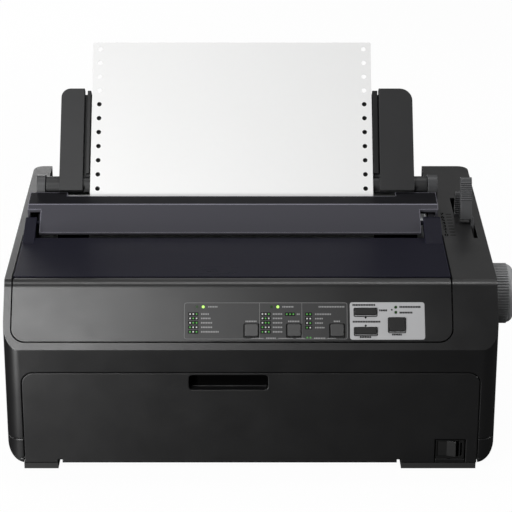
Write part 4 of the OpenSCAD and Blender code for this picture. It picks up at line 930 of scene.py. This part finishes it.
class PRINTER_OT_panel_marks(Operator):
    """Prints the frame lines, the square dots and the word marks on the films"""

    bl_idname = "printer.panel_marks"
    bl_label = "Panel marks"

    def execute(self, context):
        look = context.scene.printer_look
        # Black ink for the dot blocks, also used for the painted shade round the keys
        black = printed_ink("black_ink_and_painted_shade", grey(0.002), 0.6, 0.2)
        self.legend_lines(look, black)
        self.legend_dots(look, black)
        self.light_film(black)
        return {"FINISHED"}

    def legend_lines(self, look, black):
        """Frame, dividers, words and joining lines of the dark film, and painted shade round its three keys.
        """
        pale = printed_ink("pale_ink", grey(0.3))
        faint = printed_ink("faint_ink", grey(0.2))
        middle, foot = 23.45, 9.4
        meshes = [line_frame("frame_line", 11.85, middle, 129.1, 29.7, 1.9, look.line_width,
                             FILM_FACE, INK, faint),
                  stamped("divider_lines", [on_slope(x, middle, MARK) for x in (6.9, 40.4)],
                          (0.3, 29.0, INK), SLOPE_TILT, faint)]
        words = [(-39.5, up, width) for up, width in zip(LONG_ROWS, (7.5, 8.5, 10, 10, 15))]
        words += [(17.2, up, width) for up, width in zip(LONG_ROWS, (8.5, 8, 8.5, 8, 8))]
        words += [(50.6, up, width) for up, width in zip(SHORT_ROWS, (13.5, 7, 7, 8))]
        words += [(-34.0, 34.9, 9.0), (24.8, 34.9, 10.0), (53.5, 34.9, 21.0), (36.2, 28.9, 3.6),
                  (-4.4, 23.1, 9.5), (29.4, 23.1, 9.5), (65.4, 23.1, 5.5),
                  (12.0, foot, 9.0), (49.8, foot, 10.0)]
        meshes += [self.word(x, up, width, pale) for x, up, width in words]
        joins = ((5.3, 9.6), (27.5, 11.6), (39.2, 7.0), (63.9, 6.8))
        meshes += [stamped("join_lines", [on_slope(x, foot, MARK)], (width, 0.35, INK), SLOPE_TILT, pale)
                   for x, width in joins]
        meshes += [self.key_edge(x, 15.7, 10.3, 9.5, black) for x in (0.4, 34.1, 68.1)]
        joined("legend_lines", meshes, "chassis")

    def legend_dots(self, look, black):
        """White and green square dots of the dark film, each row of them on a black block."""
        bright = printed_ink("bright_ink", grey(0.55))
        green = printed_ink("green_ink", (0.09, 0.36, 0.07, 1.0))
        rows = [(up, columns, kinds, columns[1], 8.0)
                for columns in ((-48.0, -45.5, -42.9), (9.2, 11.7, 14.2))
                for up, kinds in zip(LONG_ROWS, ("WWG", "WGW", "WGG", "GWW", "GWG"))]
        rows.append((28.9, (28.5, 31.1, 33.7), "GGG", 31.1, 8.0))
        rows += [(up, (44.5, 47.0), kinds, 45.75, 5.4)
                 for up, kinds in zip(SHORT_ROWS, ("GG", "WW", "WG", "GW"))]
        blocks = []
        dots = {"W": [], "G": []}
        for up, columns, kinds, middle, width in rows:
            blocks.append(stamped("dot_blocks", [on_slope(middle, up, MARK)], (width, 2.7, INK),
                                  SLOPE_TILT, black))
            for x, kind in zip(columns, kinds):
                dots[kind].append(on_slope(x, up, DOT))
        dots["G"] += [on_slope(x, 9.9, DOT) for x in (44.6, 47.1)]
        size = (look.dot_side, look.dot_side, INK)
        joined("legend_dots", blocks + [stamped("white_dots", dots["W"], size, SLOPE_TILT, bright),
                                        stamped("green_dots", dots["G"], size, SLOPE_TILT, green)],
               "chassis")

    def light_film(self, black):
        """Words, arrows and dot of the light film, and painted shade round its three keys."""
        dark = printed_ink("dark_ink", grey(0.008), 0.5, 0.2)
        labels = ((80.4, 36.4, 19.0), (101.5, 32.0, 7.5), (117.6, 34.8, 18.0), (117.6, 30.2, 11.5),
                  (80.4, 22.8, 22.5), (85.9, 10.3, 10.0), (111.4, 12.4, 9.0))
        keys = ((90.8, 30.8, 16.6, 5.0), (90.8, 15.2, 16.6, 5.0), (115.5, 20.3, 12, 10.5))
        eighth = Euler((0.0, 0.0, math.radians(45.0))).to_matrix()
        turned = (Euler(SLOPE_TILT).to_matrix() @ eighth).to_euler()
        marks = [self.word(x, up, width, dark, (1.05, 1.5, INK)) for x, up, width in labels]
        marks += [self.key_edge(x, up, width, height, black) for x, up, width, height in keys]
        marks += [stamped("light_film_arrows", [on_slope(90.8, up, MARK) for up in (26.2, 19.6)],
                          (1.5, 1.5, INK), tuple(turned), dark),
                  stamped("light_film_dots", [on_slope(111.6, 32.5, MARK)], (1.2, 1.2, INK),
                          SLOPE_TILT, dark)]
        joined("light_film_marks", marks, "chassis")

    def key_edge(self, x, up, width, height, ink):
        """Dark ring of painted shade round a key, heavier below it as a painted shadow."""
        # The ring sits lower than the key so that the painted shadow is heavier below it
        shadow_drop, wider, radius, line, thick = 0.35, 2.4, 1.2, 0.75, 0.05
        return line_frame("key_edge", x, up - shadow_drop, width + wider, height + wider, radius, line,
                          FILM_FACE, thick, ink)

    def word(self, x, up, width, ink, block=(0.85, 1.15, INK)):
        """Row of small blocks that stands for a printed word, from its left end."""
        start = on_slope(x + WORD_PITCH / 2, up, MARK)
        step = on_slope(x + 1.5 * WORD_PITCH, up, MARK) - start
        return row_of("word_blocks", max(1, int(width / WORD_PITCH)), start, step, block, SLOPE_TILT, ink)


class PRINTER_OT_mechanism(Operator):
    """Gives the paper feed, the carriage, the tractors and the metal frame their finishes"""

    bl_idname = "printer.mechanism"
    bl_label = "Mechanism"

    def execute(self, context):
        dress(("platen_shaft", "guide_shafts", "tractor_shaft", "frame_screws", "drive_pulley",
               "idler_pulley"),
              turned_steel("shaft_steel", (0.62, 0.63, 0.65, 1.0), 0.18))
        dress(("platen", "pinch_rollers"), soft_rubber("roller_rubber", grey(0.018), 0.62))
        dress(("timing_belt",), soft_rubber("belt_rubber", grey(0.014), 0.7, 1500.0))
        dress(("platen_gear", "shaft_bushes"),
              moulded_plastic("nylon_plastic", (0.66, 0.63, 0.54, 1.0), 0.4, edge=0.0004, rub_and_highlight_strength=0.1))
        dress(("feed_pinion",), turned_steel("pinion_brass", (0.78, 0.56, 0.24, 1.0), 0.25))
        dress(("feed_motor", "carriage_motor"), plated_steel("motor_can", (0.4, 0.41, 0.43, 1.0), 0.38, 0.2))
        dress(("side_frame_left", "side_frame_right", "base_plate", "front_rail"),
              plated_steel("plated_sheet", (0.62, 0.63, 0.64, 1.0), 0.34))
        dress(("carriage", "ribbon_cartridge", "ribbon_knob", "feed_ramp"),
              moulded_plastic("inner_plastic", grey(0.03), 0.45))
        dress(("tractor_left", "tractor_right"), moulded_plastic("tractor_plastic", grey(0.035), 0.5))
        dress(("tractor_flap_left", "tractor_flap_right"), moulded_plastic("flap_plastic", grey(0.075), 0.45))
        dress(("print_head",), plated_steel("head_alloy", (0.2, 0.2, 0.21, 1.0), 0.45, 0.3))
        dress(("ribbon",), woven_ribbon("ribbon_weave"))
        return {"FINISHED"}


class PRINTER_OT_electrics(Operator):
    """Gives the boards, the power unit, the switch and the sockets their finishes"""

    bl_idname = "printer.electrics"
    bl_label = "Electrics"

    def execute(self, context):
        dress(("main_board", "panel_board"), circuit_board("board_resist"))
        dress(("power_unit",), plated_steel("unit_sheet", (0.6, 0.61, 0.62, 1.0), 0.36))
        dress(("data_ports",), plated_steel("port_shell", (0.66, 0.66, 0.66, 1.0), 0.28, 0.2))
        dress(("power_inlet",), moulded_plastic("inlet_plastic", grey(0.016), 0.42))
        dress(("power_switch",), moulded_plastic("switch_plastic", grey(0.008), 0.5, edge=0.0005, shine=0.3))
        dress(("power_rocker",), moulded_plastic("rocker_plastic", grey(0.016), 0.36, edge=0.0006))
        return {"FINISHED"}


class PRINTER_OT_stage(Operator):
    """Sets the floor, the backdrop light, the lamps and the camera"""

    bl_idname = "printer.stage"
    bl_label = "Studio"

    def execute(self, context):
        scene = context.scene
        studio = scene.printer_studio
        scene.view_settings.view_transform = "Standard"
        self.floor(scene)
        self.backdrop(scene)
        lamps = (("key_lamp", studio.key_place, (studio.key_width, studio.key_height), studio.key_power),
                 ("side_lamp", studio.side_place, SIDE_LAMP_SIZE, studio.side_power),
                 ("fill_lamp", *FILL_LAMP, studio.fill_power),
                 ("rear_lamp", *REAR_LAMP, studio.rear_power),
                 ("back_lamp", studio.back_place, BACK_LAMP_SIZE, studio.back_power),
                 ("strip_lamp", studio.strip_place, STRIP_LAMP_SIZE, studio.strip_power))
        for name, at, size, power in lamps:
            self.lamp(scene, name, at, size, power)
        self.camera(scene)
        return {"FINISHED"}

    def floor(self, scene):
        """Pale floor: mostly plain white to the camera, but it keeps the shadow."""
        studio = scene.printer_studio
        finish = Finish("studio_floor")
        seen = finish.node("ShaderNodeLightPath").out("Is Camera Ray")
        white = finish.blend(finish.noise(3.0, 3.0), grey(0.9), grey(0.93))
        matt = finish.node("ShaderNodeBsdfPrincipled", None, {
            "Base Color": finish.blend(seen, grey(studio.floor_tone), white),
            "Roughness": 0.85, "Specular IOR Level": 0.1})
        glow = finish.node("ShaderNodeEmission", None, {"Color": grey(1.0), "Strength": 1.0})
        both = finish.node("ShaderNodeMixShader", None, {0: seen * studio.floor_glow, 1: matt, 2: glow})
        finish.node("ShaderNodeOutputMaterial", None, {"Surface": both})
        corners = [(x * FLOOR_HALF, y * FLOOR_HALF, 0.0) for x, y in ((-1, -1), (1, -1), (1, 1), (-1, 1))]
        mesh = bpy.data.meshes.new("studio_floor")
        mesh.from_pydata(corners, [], [(0, 1, 2, 3)])
        mesh.materials.append(finish.material)
        floor = bpy.data.objects.new("studio_floor", mesh)
        scene.collection.objects.link(floor)

    def backdrop(self, scene):
        """White to the camera, faint in reflections and soft as light on the printer."""
        studio = scene.printer_studio
        world = bpy.data.worlds.new("studio_world")
        scene.world = world
        world.use_nodes = True
        sky = Nodes(world.node_tree)
        path = sky.node("ShaderNodeLightPath")
        seen = sky.math("MAXIMUM", path.out("Is Camera Ray"), path.out("Is Transmission Ray"))
        shiny = path.out("Is Glossy Ray") * (studio.mirror - studio.ambient) + studio.ambient
        light = sky.node("ShaderNodeBackground", None,
                         {"Color": grey(1.0), "Strength": sky.math("MAXIMUM", seen, shiny)})
        sky.node("ShaderNodeOutputWorld", None, {"Surface": light})

    def lamp(self, scene, name, at, size, power):
        """Rectangular lamp that looks at the printer."""
        data = bpy.data.lights.new(name, "AREA")
        data.shape = "RECTANGLE"
        data.size, data.size_y = size
        data.energy = power
        lamp = bpy.data.objects.new(name, data)
        lamp.location = at
        lamp.rotation_euler = (Vector(LAMP_AIM) - Vector(at)).to_track_quat("-Z", "Y").to_euler()
        scene.collection.objects.link(lamp)

    def camera(self, scene):
        """Camera that sees what the photograph shows."""
        data = bpy.data.cameras.new("photo_camera")
        data.sensor_width = CAMERA_SENSOR
        data.lens = CAMERA_LENS
        data.shift_x = CAMERA_SHIFT
        data.clip_start, data.clip_end = CAMERA_CLIP
        camera = bpy.data.objects.new("photo_camera", data)
        camera.location = place(*CAMERA_PLACE)
        camera.rotation_euler = (CAMERA_TILT, 0.0, 0.0)
        scene.collection.objects.link(camera)
        scene.camera = camera


class PRINTER_PT_panel(Panel):
    """Lists the printer's settings and pieces"""

    bl_label = "Impact printer"
    bl_idname = "PRINTER_PT_panel"
    bl_space_type = "VIEW_3D"
    bl_region_type = "UI"
    bl_category = "Printer"

    def draw(self, context):
        for group in (context.scene.printer_look, context.scene.printer_studio):
            for name in type(group).__annotations__:
                self.layout.prop(group, name)
        for step in STEPS:
            self.layout.operator(step.bl_idname)


STEPS = (
    PRINTER_OT_case,
    PRINTER_OT_covers,
    PRINTER_OT_paper,
    PRINTER_OT_paper_guide,
    PRINTER_OT_levers,
    PRINTER_OT_lever_scale,
    PRINTER_OT_key_panel,
    PRINTER_OT_panel_marks,
    PRINTER_OT_mechanism,
    PRINTER_OT_electrics,
    PRINTER_OT_stage,
)
CLASSES = (PrinterLook, StudioLook) + STEPS + (PRINTER_PT_panel,)


def register():
    for item in CLASSES:
        bpy.utils.register_class(item)
    bpy.types.Scene.printer_look = PointerProperty(type=PrinterLook)
    bpy.types.Scene.printer_studio = PointerProperty(type=StudioLook)


def unregister():
    del bpy.types.Scene.printer_studio
    del bpy.types.Scene.printer_look
    for item in reversed(CLASSES):
        bpy.utils.unregister_class(item)


def main():
    register()
    for step in STEPS:
        group, name = step.bl_idname.split(".")
        if getattr(getattr(bpy.ops, group), name)() != {"FINISHED"}:
            raise RuntimeError(step.bl_label + " was not finished")


if __name__ == "__main__":
    main()
